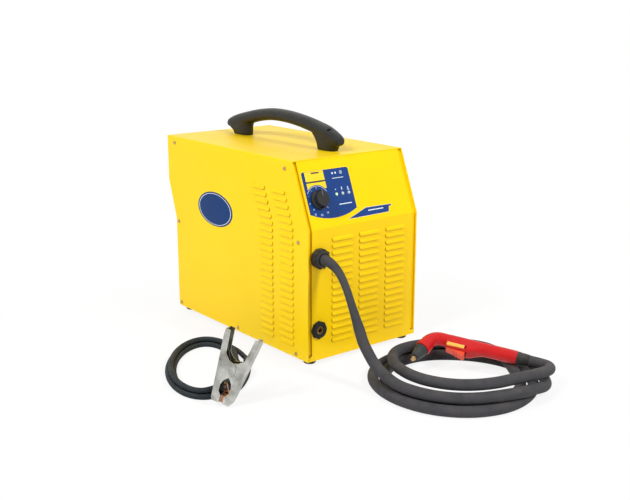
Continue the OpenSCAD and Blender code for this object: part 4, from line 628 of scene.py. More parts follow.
free = [Vector(p) for p in FREE_STRETCH]
coil_turn = COIL_LAST - COIL_FIRST
coil_steps = math.ceil(coil_turn / 360 * COIL_STEPS_A_TURN)
coil = [coil_at(COIL_FIRST + coil_turn * i / coil_steps) for i in range(coil_steps + 1)]
tail_end = TORCH_AT - torch_axis * TAIL_SUNK
tail_start = tail_end - torch_axis * HOSE_D
heading = turned(1, 0, COIL_FACES + COIL_LAST + 90)
bend = [coil[-1], coil[-1] + Vector((heading[0], heading[1], TAIL_RISE)) * TAIL_REACH[0],
        tail_start - torch_axis * TAIL_REACH[1], tail_start]
tail = [bend[0] * (1 - t)**3 + bend[1] * 3 * t * (1 - t)**2 + bend[2] * 3 * t**2 * (1 - t) + bend[3] * t**3
        for t in TAIL_SHARES]
past_free = free[-1] + (free[-1] - free[-2]).normalized() * HOSE_D
hose_points = free + [past_free] + [Vector(p) for p in LANDING] + coil + tail + [tail_start, tail_end]
hose_line = [p * MM for p in through(hose_points, HOSE_STEPS)]
print("hose route: %.3f m long" % line_length(hose_line))

# %% [markdown]
# The sheath is only as round as the hose inside it: in the free bend it folds to about two thirds of its
# height and spreads sideways. Each ring of the tube has two half widths for this, and a small ripple makes
# the cloth uneven. A round tube with a displacement could ripple too, but it couldn't fold.

# %% Torch hose
HOSE_SIDES = 40
HALF_WIDTHS = [(10.5, 10.5), (10.5, 10.5), (10.6, 10.2), (11.4, 8.8), (12, 7.4), (12.2, 6.6), (12, 6.6),
               (11.4, 8.2), (10.5, 10.5)]
FLAT_LIES = Vector((0.829, 0, -0.559))


def hose_size(i):
    """Half widths of the hose's ring i: flat in the free bend, round from there on."""
    at = i / HOSE_STEPS
    if at >= len(HALF_WIDTHS) - 1:
        return HOSE_D / 2 * MM, HOSE_D / 2 * MM
    a, b = HALF_WIDTHS[int(at)], HALF_WIDTHS[int(at) + 1]
    share = at - int(at)
    return tuple((u + (v - u) * share) * MM for u, v in zip(a, b))


hose = tube_piece("torch hose", hose_line, hose_size, HOSE_SIDES, "unit", sheath, FLAT_LIES, ripple=0.016,
                  ripple_scale=55.0)
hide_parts("hose_drop", "hose_coil")
print("torch hose:", len(hose.data.polygons), "faces")

# %% [markdown]
# The earth lead is a thinner rubber cable. It leaves the lug on the clamp, runs over the floor into a long
# oval coil, crosses itself once, and ends in the plug's sleeve, which lies on top with the plug unplugged.
# Like the hose, it follows the frame's own route, and it stays round, because rubber doesn't fold flat.

# %% Earth lead
CABLE_D, CABLE_SIDES = 10.4, 28
LOW, HIGH, STEP_IN = CABLE_D / 2, CABLE_D * 1.44, CABLE_D + 1.4
OVAL = [(20, (11, LOW)), (60, (4, LOW)), (110, (0, LOW)), (130, (0, LOW)), (315, (0, LOW)), (330, (0, LOW)),
        (345, (-1, LOW)), (380, (-9.5, LOW)), (405, (-STEP_IN, LOW)), (425, (-STEP_IN, LOW)),
        (645, (-STEP_IN, LOW)), (665, (-STEP_IN, LOW)), (685, (-STEP_IN, LOW + 1.8)),
        (700, (-STEP_IN, LOW + 6)), (720, (-STEP_IN, LOW + 10.6)), (740, (-9.2, LOW + 11.6)),
        (765, (-6.6, LOW + 10.8)), (790, (-STEP_IN / 2, HIGH)), (815, (-STEP_IN / 2, HIGH)),
        (960, (-STEP_IN / 2, HIGH)), (980, (-STEP_IN / 2, HIGH)), (1000, (-STEP_IN / 2, HIGH + 2.4)),
        (1015, (-STEP_IN / 2, HIGH + 4.6))]
OVAL_CENTRE, OVAL_HALF, OVAL_TURNED = (-308.5, -131), (72, 145), -32
OVAL_FIRST, OVAL_LAST, OVAL_STEPS = 20, 1015, 67
CLAMP_W = 24
CLAMP_POS = Vector((-376, -291, 0.8))
CLAMP_YAW, CLAMP_LEAN, CLAMP_TWIST, CLAMP_FOOT = -32, 19, -24, 6
to_clamp = (Matrix.Translation(CLAMP_POS) @ Matrix.Rotation(math.radians(CLAMP_YAW), 4, "Z")
            @ Matrix.Rotation(math.radians(CLAMP_LEAN), 4, "Y")
            @ Matrix.Rotation(math.radians(CLAMP_TWIST), 4, "Z") @ Matrix.Translation((0, 0, CLAMP_FOOT)))
PLUG_AT, PLUG_HEADS = Vector((-322, -241, 21)), 34
plug_way = Vector((math.cos(math.radians(PLUG_HEADS)), math.sin(math.radians(PLUG_HEADS)), 0))


def oval_at(turn):
    outwards, height = table_value(OVAL, turn)
    short, long = OVAL_HALF
    c, s = math.cos(math.radians(turn)), math.sin(math.radians(turn))
    out = Vector((long * c, short * s)).normalized()
    x, y = turned(short * c + outwards * out[0], long * s + outwards * out[1], OVAL_TURNED)
    return Vector((OVAL_CENTRE[0] + x, OVAL_CENTRE[1] + y, height))


oval = [oval_at(OVAL_FIRST + (OVAL_LAST - OVAL_FIRST) * i / OVAL_STEPS) for i in range(OVAL_STEPS + 1)]
LUG_X, LUG_OUT, LUG_H = -1, 4.4, 7.8
lug_mouth = to_clamp @ Vector((LUG_X, CLAMP_W / 2 + LUG_OUT, LUG_H))
lug_way = (to_clamp.to_3x3() @ Vector((0, 1, 0))).normalized()
LUG_STRAIGHT, LEAD_STEPS = 13, 6
OVER_FLOOR = [(-326, -263.5, 6), (-302, -247, 5.2), (-277.5, -225, 5.2), (-255, -199.5, 5.2),
              (-236, -172, 5.2), (-224, -147.5, 5.2)]
before_oval = oval[0] - (oval[1] - oval[0]).normalized() * CABLE_D
lead_points = ([lug_mouth, lug_mouth + lug_way * LUG_STRAIGHT] + [Vector(p) for p in OVER_FLOOR]
               + [before_oval] + oval + [PLUG_AT - plug_way * CABLE_D, PLUG_AT])
lead_line = [p * MM for p in through(lead_points, LEAD_STEPS)]
lead = tube_piece("earth lead", lead_line, lambda i: (CABLE_D / 2 * MM, CABLE_D / 2 * MM), CABLE_SIDES,
                  "unit", cable_rubber, lug_way.cross(Vector((0, 0, 1))).normalized(), ripple=0.01,
                  ripple_scale=40.0)
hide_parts("earth_coil", "earth_tail")
print("earth lead: %.3f m long" % line_length(lead_line))

# %% [markdown]
# Lofts, prisms and cuts make the moulded pieces. A cut is taken with a temporary cutter that is thrown away,
# and a crease keeps the cut's rim crisp while the rest of the skin stays smooth. Bevels could soften the
# rims instead, but they break easily where a cut meets a curved skin.

# %% Moulding tools
def crease(piece, degrees=32):
    """Smooth shading with crisp edges where two faces meet at more than the given angle."""
    bm = bmesh.new()
    bm.from_mesh(piece.data)
    bmesh.ops.recalc_face_normals(bm, faces=bm.faces)
    for face in bm.faces:
        face.smooth = True
    for e in bm.edges:
        e.smooth = len(e.link_faces) == 2 and e.calc_face_angle(0) < math.radians(degrees)
    bm.to_mesh(piece.data)
    bm.free()
    return piece


def settle(piece):
    """Turns a piece with modifiers into its plain mesh."""
    depsgraph = bpy.context.evaluated_depsgraph_get()
    mesh = bpy.data.meshes.new_from_object(piece.evaluated_get(depsgraph))
    piece.modifiers.clear()
    piece.data = mesh


def cut(piece, cutters):
    """Cuts the piece with closed meshes, each given as (verts, faces) in the piece's space."""
    for verts, faces in cutters:
        mesh = bpy.data.meshes.new("cutter")
        mesh.from_pydata([tuple(v) for v in verts], [], faces)
        bm = bmesh.new()
        bm.from_mesh(mesh)
        bmesh.ops.recalc_face_normals(bm, faces=bm.faces)
        bm.to_mesh(mesh)
        bm.free()
        tool = bpy.data.objects.new("cutter", mesh)
        bpy.context.scene.collection.objects.link(tool)
        modifier = piece.modifiers.new("cut", "BOOLEAN")
        modifier.operation, modifier.object, modifier.solver = "DIFFERENCE", tool, "EXACT"
        settle(piece)
        bpy.data.objects.remove(tool)


print("moulding tools ready")

# %% [markdown]
# A pocket or a screw hole needs a plain tool to cut it with, and a print or a bezel is a thin plate with an
# outline. Ready-made cubes and cylinders could do for both, but outlines in millimetres, placed by one
# matrix, land where the machine's own leaning faces and the torch's own axes are.

# %% Boxes, bars, bands and plates
def rounded_box(size, corner, at, placement, steps=5):
    """Box with round upright edges: its size, its corner radius and its centre, placed by a matrix."""
    width, depth, height = size
    ring = [(sx * (width / 2 - corner) + corner * math.cos(math.radians(a)),
             sy * (depth / 2 - corner) + corner * math.sin(math.radians(a)))
            for sx, sy, first in ((1, 1, 0), (-1, 1, 90), (-1, -1, 180), (1, -1, 270))
            for a in [first + 90 * k / steps for k in range(steps + 1)]]
    verts = [placement @ Vector((at[0] + x, at[1] + y, at[2] + z)) * MM
             for z in (-height / 2, height / 2) for x, y in ring]
    return verts, skin_faces(2, len(ring))


def round_bar(radius, start, end, placement, sides=40):
    """Round bar between two points, placed by a matrix."""
    a, b = Vector(start), Vector(end)
    way = (b - a).normalized()
    across = way.orthogonal().normalized()
    up = way.cross(across)
    verts = [placement @ (p + (across * c + up * s) * radius) * MM for p in (a, b) for c, s in circle(sides)]
    return verts, skin_faces(2, sides)


def prisms(name, outlines, low, high, placement, body, material):
    """Thin plates with the given outlines between two heights, as one piece."""
    verts, faces = [], []
    for outline in outlines:
        n, start = len(outline), len(verts)
        verts += [placement @ Vector((x, y, z)) * MM for z in (low, high) for x, y in outline]
        faces += [tuple(start + i for i in face) for face in skin_faces(2, n)]
    piece = new_piece(name, verts, faces, body, material)
    return crease(piece)


def disc(x, y, radius, sides=20):
    return [(x + radius * c, y + radius * s) for c, s in circle(sides)]


def band(x, y, inner, outer, first, last, sides=48):
    """Outline of an arc band round a centre, between two radii and two angles in degrees."""
    angles = [math.radians(first + (last - first) * k / sides) for k in range(sides + 1)]
    return ([(x + outer * math.cos(a), y + outer * math.sin(a)) for a in angles]
            + [(x + inner * math.cos(a), y + inner * math.sin(a)) for a in reversed(angles)])


def box_outline(x0, y0, x1, y1):
    return [(x0, y0), (x1, y0), (x1, y1), (x0, y1)]


print("boxes, bars, bands and plates ready")

# %% [markdown]
# The carrying handle is one nylon moulding: a grip that swells and sinks along a smooth line, and two feet
# that flare into it. It could be sculpted, but sections at a few stations can be measured on a real handle,
# and they give the same shape every time.

# %% Sections of the handle
TOP = 401
GRIP = [(-168, (20, 0.62, 5)), (-165, (20.5, 0.86, 9)), (-156, (23.5, 0.95, 12.5)), (-143, (28.5, 1, 13.8)),
        (-126, (34.8, 1, 14)), (-96, (42, 1, 13.5)), (-60, (48.4, 1, 13.2)), (-20, (53.5, 1, 13)),
        (20, (56, 1, 13)), (60, (55.5, 1, 13)), (95, (51.5, 1, 13.2)), (125, (46, 1, 13.7)),
        (155, (39, 1, 14.2)), (185, (32, 1, 14)), (205, (27, 0.96, 13)), (222, (22.5, 0.88, 10)),
        (229, (20.5, 0.64, 6))]
END_FRONT, END_REAR = GRIP[0][0], GRIP[-1][0]
HANDLE_W, GRIP_SIDES, FOOT_SIDES, STATIONS = 28, 48, 40, 120
GRIP_SQUARE, TILT_SHARE, LOOK_AROUND = 0.8, 0.6, 4
FOOT_BLUNT, FOOT_ROUND = (0.45, 0.3), (0.8, 0.8)


def swelled(value, power):
    """A sine or cosine raised to a power with its sign kept, which makes a circle more square."""
    return math.copysign(abs(value)**power, value)


def grip_ring(y):
    height, width, half = table_value(GRIP, y)
    y_ahead, y_behind = min(y + LOOK_AROUND, END_REAR), max(y - LOOK_AROUND, END_FRONT)
    tilt = math.atan2(table_value(GRIP, y_ahead)[0] - table_value(GRIP, y_behind)[0], y_ahead - y_behind)
    ring = []
    for c, s in circle(GRIP_SIDES):
        out = half * swelled(s, GRIP_SQUARE)
        ring.append(Vector((width * HANDLE_W / 2 * swelled(c, GRIP_SQUARE),
                            y - out * math.sin(tilt) * TILT_SHARE, TOP + height + out * math.cos(tilt))) * MM)
    return ring


def foot_rings(levels):
    """A foot from its levels: height, both ends and width. Its rear is blunt and its front round."""
    verts = []
    for height, y0, y1, width in levels:
        for c, s in circle(FOOT_SIDES):
            blunt, square = FOOT_BLUNT if s > 0 else FOOT_ROUND
            y = (y0 + y1) / 2 + (y1 - y0) / 2 * swelled(s, square)
            verts.append(Vector((width / 2 * swelled(c, blunt), y, TOP + height)) * MM)
    return verts, skin_faces(len(levels), FOOT_SIDES)


print("handle table:", len(GRIP), "stations")

# %% [markdown]
# Grip and feet start as closed skins that pass through each other. One fine skin is then laid over all of
# them and relaxed a little, as a mould maker rounds inside corners. A plain union would leave hard creases
# where they meet. The small notch near its front end is cut last, so that its rim stays sharp.

# %% Carrying handle
stations = [END_FRONT + (END_REAR - END_FRONT) * i / STATIONS for i in range(STATIONS + 1)]
verts = [p for y in stations for p in grip_ring(y)]
faces = skin_faces(len(stations), GRIP_SIDES)
for levels in ([(0, -153, -104, 25), (2, -153.6, -103.4, 26), (5, -154.5, -103, 26.4), (9, -157, -102, 26.6),
                (14, -162, -100, 27), (19, -165, -97, 27), (25, -162, -92, 27), (32, -150, -84, 25)],
               [(0, 147, 200, 25), (2, 146.4, 200.6, 26), (5, 146, 202, 26.4), (9, 145.5, 207, 26.6),
                (14, 145, 216, 27), (19, 144.5, 222, 27), (25, 143, 220, 27), (34, 134, 190, 25)]):
    more, more_faces = foot_rings(levels)
    faces += [tuple(i + len(verts) for i in face) for face in more_faces]
    verts += more
handle = new_piece("carrying handle", verts, faces, "unit", handle_nylon)
SKIN_STEP, RELAX_SHARE, RELAX_PASSES = 1.1, 0.5, 9
remesh = handle.modifiers.new("fine skin", "REMESH")
remesh.mode, remesh.voxel_size = "VOXEL", SKIN_STEP * MM
relax = handle.modifiers.new("relax", "SMOOTH")
relax.factor, relax.iterations = RELAX_SHARE, RELAX_PASSES
settle(handle)
NOTCH_SIZE, NOTCH_ROUND, NOTCH_AT = (11, 7, 5), 2.4, (-7, -139, TOP + 42.6)
cut(handle, [rounded_box(NOTCH_SIZE, NOTCH_ROUND, NOTCH_AT, Matrix.Identity(4))])
crease(handle, degrees=40)
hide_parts("carry_handle")
print("handle:", len(handle.data.polygons), "faces")

# %% [markdown]
# The torch body is a loft round one bent centre line. Its section is round at the tail, deepens into a
# square housing for the trigger, and turns round again in the neck. A hairline seam runs along the top and
# the bottom, where the two half shells meet. It could be sculpted, but sections at known distances keep the
# trigger's well where the trigger moves.

# %% Sections of the torch
BEND_R, BEND, CORNER_AT, SEAM = 24, 75, 168, 0.3
s_bend = CORNER_AT - BEND_R * math.tan(math.radians(BEND / 2))
arc = BEND_R * math.radians(BEND)
TORCH = [(0, (25, 12.5, 12.5, 1)), (2, (26, 13, 13, 1)), (20, (27, 13, 13.5, 1)), (50, (27, 13, 13.5, 1)),
         (66, (27, 13, 14.5, 0.9)), (78, (27, 13, 18.5, 0.6)), (86, (27, 13, 22.5, 0.45)),
         (94, (27, 13, 23.5, 0.4)), (126, (27, 13.2, 23.5, 0.4)), (132, (26.5, 13.2, 23, 0.42)),
         (136, (26, 13, 21, 0.5))]
NECK = [(136, (26, 13, 15, 0.8)), (141, (26, 13, 13, 1)), (148, (26, 13.2, 12, 1)),
        (158, (26.5, 13.5, 12, 1)), (166, (27, 14, 12.5, 1)), (174, (27.5, 14, 13, 1)),
        (182, (28.5, 14.3, 14.3, 1)), (192, (30, 15, 15, 1)), (197, (31, 15.5, 15.5, 1)),
        (199, (30, 15, 15, 1))]
FINE = [0, 4, 8, 12, 17, 22, 28, 34, 40, 46, 52, 58, 64, 70, 76, 81, 85, 87.4, 88.8, 90]
AROUND = FINE + [180 - a for a in reversed(FINE[:-1])]
AROUND = AROUND + [180 + a for a in AROUND[1:-1]]


def centre_line(s):
    """Point and heading of the torch's middle, s millimetres from its tail."""
    if s <= s_bend:
        return s, 0, 0
    if s <= s_bend + arc:
        a = (s - s_bend) / BEND_R
        return s_bend + BEND_R * math.sin(a), -BEND_R * (1 - math.cos(a)), a
    a, k = math.radians(BEND), s - s_bend - arc
    return s_bend + BEND_R * math.sin(a) + k * math.cos(a), -BEND_R * (1 - math.cos(a)) - k * math.sin(a), a


def torch_ring(table, s):
    width, up, down, square = table_value(table, s)
    x, z, heading_now = centre_line(s)
    ring = []
    for a in AROUND:
        u = math.cos(math.radians(a))
        if a <= 180:
            high = up * math.sin(math.radians(a))
        else:
            high = -down * (1 - abs(u)**(2 / square))**(square / 2) if abs(u) < 1 else 0
        if a in (90, 270):
            high -= math.copysign(SEAM, high)
        ring.append(to_torch @ Vector((x + high * math.sin(heading_now), width / 2 * u,
                                       z + high * math.cos(heading_now))) * MM)
    return ring


print("torch tables:", len(TORCH), "and", len(NECK), "stations")

# %% [markdown]
# The two half shells are one piece here, with their hairline seam, and the neck follows it. The trigger's
# well, the switch's room and the slide's track are cut out of the body, so that what moves in them has real
# walls round it. Dark paint could pass for a well from afar, but not when the trigger is pressed.

# %% Torch body and neck
def torch_piece(name, table, steps, nodes):
    first, last = table[0][0], table[-1][0]
    marks = [first + (last - first) * i / steps for i in range(steps + 1)]
    loft = [p for s in marks for p in torch_ring(table, s)]
    piece = new_piece(name, loft, skin_faces(len(marks), len(AROUND)), "unit", torch_red)
    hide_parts(*nodes)
    return piece


# The trigger's well, the switch's room at its back in two steps, and the safety slide's track
POCKETS = [((44, 14.8, 20), 0.3, (116, 0, -20)), ((20, 12.4, 8), 0.3, (107, 0, -10)),
           ((20, 12.4, 24), 1.0, (107, 0, -18)), ((38.8, 9.6, 7.6), 0.6, (113.8, 14.4, -17))]
SCREW_XS, SCREW_Z, SCREW_HOLE_R, SCREW_FROM, SCREW_TO = (66, 84), -1, 3.2, -10.5, -24
torch_body = torch_piece("torch handle", TORCH, 96, ["torch_shell_left", "torch_shell_right"])
cut(torch_body, [rounded_box(size, corner_r, at, to_torch) for size, corner_r, at in POCKETS]
    + [round_bar(SCREW_HOLE_R, (x, SCREW_FROM, SCREW_Z), (x, SCREW_TO, SCREW_Z), to_torch)
       for x in SCREW_XS])
crease(torch_body, degrees=28)
torch_neck = torch_piece("torch neck", NECK, 60, ["torch_neck"])
crease(torch_neck, degrees=28)
print("torch:", len(torch_body.data.polygons), "and", len(torch_neck.data.polygons), "faces")

# %% [markdown]
# The clamp's torsion spring is one drawn wire: four curls round the pin and a straight leg up each arm. When
# the clamp is squeezed, one leg stays with the arm and the other goes with the lever, and the curls between
# them wind up a little. Here the wire is drawn once, in one fixed pose, and does not follow the lever.

# %% Clamp spring
PIVOT, WIRE, WIRE_SIDES, CURL_R, LEG, LEAN_DEG = 62, 1.8, 14, 4.5, 50, 29
CURLS, CURL_STEPS, LEG_STEPS, CLAMP_SHEET, LEVER_GAP, CURL_GAP = 4, 160, 12, 1.6, 0.6, 2
LEAN = math.radians(LEAN_DEG)
curl_turns = CURLS + (180 - 2 * LEAN_DEG) / 360
curl_width = CLAMP_W - 4 * CLAMP_SHEET - LEVER_GAP - WIRE - CURL_GAP
curls = []
for i in range(CURL_STEPS + 1):
    a, y = LEAN + 2 * math.pi * curl_turns * i / CURL_STEPS, (i / CURL_STEPS - 0.5) * curl_width
    curls.append(Vector((CURL_R * math.cos(a), y, PIVOT - CURL_R * math.sin(a))))
lever_leg, arm_leg = [Vector((side * math.sin(LEAN), 0, math.cos(LEAN))) for side in (1, -1)]
wire = ([curls[0] + lever_leg * LEG * (1 - k / LEG_STEPS) for k in range(LEG_STEPS)] + curls
        + [curls[-1] + arm_leg * LEG * (k + 1) / LEG_STEPS for k in range(LEG_STEPS)])
spring = tube_piece("clamp spring wire", [to_clamp @ p * MM for p in wire],
                    lambda i: (WIRE / 2 * MM, WIRE / 2 * MM), WIRE_SIDES, None, spring_steel,
                    to_clamp.to_3x3() @ Vector((0, 1, 0.02)))
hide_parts("clamp_spring")
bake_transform(spring)
print("spring:", len(spring.data.polygons), "faces")

# %% [markdown]
# The controls sit on a printed film on the leaning face. Everything printed on it is a thin plate of its
# own colour, such as the yellow window with its dark band and the blue arc round the knob. A picture could
# hold the print, but thin plates stay sharp from any distance.

# %% Printed film, window and arc
SLOPE_FOOT, SLOPE_RUN, SLOPE_RISE = (0, -242, 273), 51, 392 - 264
to_slope = (Matrix.Translation(SLOPE_FOOT)
            @ Matrix.Rotation(math.pi / 2 - math.atan2(SLOPE_RUN, SLOPE_RISE), 4, "X"))
FILM, FILM_EDGE, PRINT_SUNK, PRINT_RISE, PRINT_LAYER = 0.5, 0.9, 0.02, 0.06, 0.05
KNOB = (-99, 56)
X0, X1, S0, S1 = -127, -11, 30, 113
BOW_DEPTH, FILM_CORNER, CORNER_SHARE, BOW_SIDES = 13, 5, 0.6, 28
bow = ((X1 - X0)**2 / 4 + BOW_DEPTH**2) / (2 * BOW_DEPTH)


def film_outline(inset):
    """The film's outline: a straight top with round corners and a bowed foot, drawn in by the inset."""
    mid, half = (X0 + X1) / 2, (X1 - X0) / 2 - inset
    top, r = S1 - inset, FILM_CORNER - inset * CORNER_SHARE
    outline = [(middle + r * math.cos(math.radians(a)), top - r + r * math.sin(math.radians(a)))
               for middle, first in ((X1 - inset - r, 0), (X0 + inset + r, 90))
               for a in range(first, first + 91, 15)]
    for k in range(BOW_SIDES + 1):
        x = mid - half + 2 * half * k / BOW_SIDES
        outline.append((x, S0 - BOW_DEPTH + bow - math.sqrt(bow**2 - (x - mid)**2) + inset))
    return outline


def film_plates(name, outlines, material, level=0):
    """Print on the film, in thin layers that lie one on another."""
    prisms(name, outlines, FILM - PRINT_SUNK, FILM + PRINT_RISE + PRINT_LAYER * level, to_slope, "unit",
           material)


outer_edge, inner_edge = film_outline(-FILM_EDGE), film_outline(0)
edge_ring = outer_edge + [outer_edge[0], inner_edge[0]] + list(reversed(inner_edge))
prisms("film edge", [edge_ring], 0.02, FILM * 0.6, to_slope, "unit", film_yellow)
film_plates("yellow window", [box_outline(-119.5, 77, -73.5, 112.6)], film_yellow)
film_plates("window band", [box_outline(-119.5, 90.2, -73.5, 93.4), box_outline(-104, 107.6, -84, 110.4)],
            print_dark, 1)
film_plates("knob arc", [band(*KNOB, 19.5, 29.5, 18, 162)], film_blue, 1)
film_plates("arc line", [band(*KNOB, 27.2, 28.0, 32, 148)], print_white, 2)
print("film, window and arc made")

# %% [markdown]
# Round the knob go tick marks with plain numbers, built from bars as on a digital clock. Each lens has its
# mark, and short bars and squares stand where a maker would put words and signs, which this bare unit
# doesn't carry. A text object could write the numbers, but a few bars are lighter and need no font.

# %% Dial marks and signs
TICKS, TICK_FROM, TICK_SWEEP, TICK_INNER, TICK_OUTER, TICK_HALF = 9, 225, 270, 22, (25.8, 24.6), 0.45
marks = []
for k in range(TICKS):
    a = math.radians(TICK_FROM - TICK_SWEEP * k / (TICKS - 1))
    c, s = math.cos(a), math.sin(a)
    ends = ((TICK_INNER, -1), (TICK_OUTER[k % 2], -1), (TICK_OUTER[k % 2], 1), (TICK_INNER, 1))
    marks.append([(KNOB[0] + r * c - side * TICK_HALF * s, KNOB[1] + r * s + side * TICK_HALF * c)
                  for r, side in ends])
FIGURE_WIDE, FIGURE_GAP = 0.52, 1.0
SEGMENTS = {"0": "abcdef", "1": "bc", "2": "abged", "3": "abgcd"}


def figure(text, x, y, h=3.6, t=0.55):
    """Plain figures h high drawn with bars t thick, left edge and foot at x, y."""
    w, made = h * FIGURE_WIDE, []
    bars = {"a": (0, h - t, w, h), "b": (w - t, h / 2, w, h), "c": (w - t, 0, w, h / 2), "d": (0, 0, w, t),
            "e": (0, 0, t, h / 2), "f": (0, h / 2, t, h), "g": (0, h / 2 - t / 2, w, h / 2 + t / 2)}
    for n, sign in enumerate(text):
        left = x + n * (w + FIGURE_GAP)
        for bar in SEGMENTS[sign]:
            x0, y0, x1, y1 = bars[bar]
            made.append(box_outline(left + x0, y + y0, left + x1, y + y1))
    return made


for text, x, y in (("10", -117.5, 27.5), ("20", -102, 24.5), ("30", -87, 27.5)):
    marks += figure(text, x, y)
film_plates("dial marks", marks, print_white, 1)
LENS_XS, LENS_Y = (-53, -37.5, -22), 62
zigzag = [(LENS_XS[1] + x, y) for x, y in ((-0.9, 75), (1.3, 75), (0.2, 71.6), (1.5, 71.6), (-1.0, 66.8),
                                           (-0.2, 70.4), (-1.6, 70.4))]
film_plates("indicator marks", [disc(LENS_XS[0], 71.5, 1.1), zigzag, box_outline(-24.4, 67.5, -19.6, 68.6),
                                box_outline(-24.4, 69.6, -19.6, 70.7), box_outline(-23.2, 71.7, -20.8, 74.2)],
            print_white, 1)
film_plates("word bars", [box_outline(-55, 93.2, -27, 94.4), box_outline(-52, 40.5, -20.5, 42.3)],
            print_white, 1)
film_plates("small signs", [box_outline(-54, 102.2, -50.4, 105.8), box_outline(-46.2, 102.2, -42.6, 105.8),
                            band(-31, 104, 2.6, 3.3, 0, 359, 28), disc(-31, 104, 1.1)], print_white, 1)
print("dial marks and signs made")

# %% [markdown]
# A knob is read by its pointer, and a lit lens by its colour, so both get their own small pieces. They could
# be painted on by a mask in the material, but a piece of its own also catches the light at its edge. The
# blue banner beside the film is bare, cut on the slant with a light edge.

# %% Pointer, lit lens and banner
KNOB_LIFT, KNOB_H, POINTER_HALF, POINTER_FROM, POINTER_TO = 0.6, 16, 0.62, 5, 18.4
POINTER_FOOT, POINTER_TOP = 0.7, 0.25    # below the knob's face
knob_face = FILM + KNOB_LIFT + KNOB_H
prisms("knob pointer", [box_outline(KNOB[0] - POINTER_HALF, KNOB[1] + POINTER_FROM,
                                    KNOB[0] + POINTER_HALF, KNOB[1] + POINTER_TO)],
       knob_face - POINTER_FOOT, knob_face - POINTER_TOP, to_slope, "knob", faint_print)
BANNER = [(-37, 10), (11.7, 26.6), (79.2, 25.5), (78, 22.5), (72, 22), (68.3, 11)]
BANNER_EDGE = [(-38.4, 9.5), (11.6, 27.1), (79.8, 26.0), (78.4, 22.1), (72.4, 21.6), (68.7, 10.5)]
for name, outline, low, high, material in (
        ("banner edge", BANNER_EDGE, 0.02, 0.14, print_white), ("banner", BANNER, 0.02, 0.22, film_blue),
        ("banner bar", box_outline(16, 19.2, 56, 21.2), 0.2, 0.27, print_white)):
    prisms(name, [outline], low, high, to_slope, "unit", material)
LENS_R, LENS_LIFT, LENS_RINGS, LENS_SIDES = 2.62, 0.56, 9, 32
verts = []
for ring in range(LENS_RINGS):
    a = math.radians(90 * ring / (LENS_RINGS - 1))
    verts += [to_slope @ Vector((LENS_XS[0] + LENS_R * math.cos(a) * c, LENS_Y + LENS_R * math.cos(a) * s,
                                 LENS_LIFT + LENS_R * math.sin(a))) * MM for c, s in circle(LENS_SIDES)]
new_piece("lit lens", verts, skin_faces(LENS_RINGS, LENS_SIDES), "unit", lens_green)
BEZEL_INNER, BEZEL_OUTER, BEZEL_H = 2.6, 3.5, 0.3
prisms("lens bezels", [band(x, LENS_Y, BEZEL_INNER, BEZEL_OUTER, 0, 359.9, 40) for x in LENS_XS],
       FILM, FILM + BEZEL_H, to_slope, "unit", zinc)
print("pointer, lens and banner made")

# %% [markdown]
# The badge on the side is an oval resin dome over blue film. A light ring runs inside its rim, and it
# follows the dome. A squashed sphere could stand in, but rings at chosen shares of the oval put most faces
# at the rim, where the curve is tight.

# %% Domed side badge
BADGE_AT, BADGE_HALF, BADGE_SIDES = (-142.5, 80, 262), (67, 37), 96
DOME_RIM, DOME_H, DOME_ROUND, RIM_LIFT, RING_LIFT = 0.55, 0.9, 0.6, 0.02, 0.05
DOME_SHARES = [1, 0.995, 0.985, 0.97, 0.95, 0.9, 0.8, 0.7, 0.6, 0.5, 0.4, 0.3, 0.2, 0.1, 0.02]
RING_SHARES = (0.925, 0.895)


def badge_oval(share, lift):
    """A ring of the badge at a share of its size, lifted off the cover's side."""
    return [Vector((BADGE_AT[0] - lift, BADGE_AT[1] + BADGE_HALF[0] * share * c,
                    BADGE_AT[2] + BADGE_HALF[1] * share * s)) * MM for c, s in circle(BADGE_SIDES)]


def dome_height(share):
    return DOME_RIM + DOME_H * (1 - share**2)**DOME_ROUND


verts = badge_oval(DOME_SHARES[0], RIM_LIFT)
for share in DOME_SHARES:
    verts += badge_oval(share, dome_height(share))
badge = new_piece("side badge", verts, skin_faces(len(DOME_SHARES) + 1, BADGE_SIDES), "unit", badge_blue)
crease(badge, degrees=50)
ring_verts = [p for share in RING_SHARES for p in badge_oval(share, dome_height(share) + RING_LIFT)]
new_piece("badge ring", ring_verts, skin_faces(2, BADGE_SIDES)[:-2], "unit", print_white)
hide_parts("side_badge")
print("badge made")

# %% [markdown]
# A product portrait is lit by a white room. The background is white for the camera and in reflections, but
# gives off far less light than that, because a room that lit the machine evenly from all sides would hide
# its louvres.

# %% White room
def seen_directly(tree):
    """1 for the camera and in reflections and glass, 0 for the light that falls on things."""
    rays = add_node(tree, "ShaderNodeLightPath")
    mirrored = arithmetic(tree, "MAXIMUM", rays.outputs["Is Glossy Ray"], rays.outputs["Is Transmission Ray"])
    return arithmetic(tree, "MAXIMUM", rays.outputs["Is Camera Ray"], mirrored)


def mix_shaders(tree, share, first, second, output):
    mix = add_node(tree, "ShaderNodeMixShader", {0: share, 1: first, 2: second})
    tree.links.new(mix.outputs["Shader"], tree.nodes[output].inputs["Surface"])


ROOM_LIGHT, PURE_WHITE = 0.36, (1, 1, 1, 1)
scene = bpy.context.scene
scene.view_settings.view_transform = "Standard"
scene.view_settings.look = "None"
world = bpy.data.worlds.new("white room")
scene.world = world
world.use_nodes = True
world_tree = world.node_tree
dim = world_tree.nodes["Background"]
dim.inputs["Color"].default_value = PURE_WHITE
dim.inputs["Strength"].default_value = ROOM_LIGHT
white = add_node(world_tree, "ShaderNodeBackground", {"Color": PURE_WHITE, "Strength": 1.0})
mix_shaders(world_tree, seen_directly(world_tree), dim.outputs["Background"], white.outputs["Background"],
            "World Output")
print("white room ready")

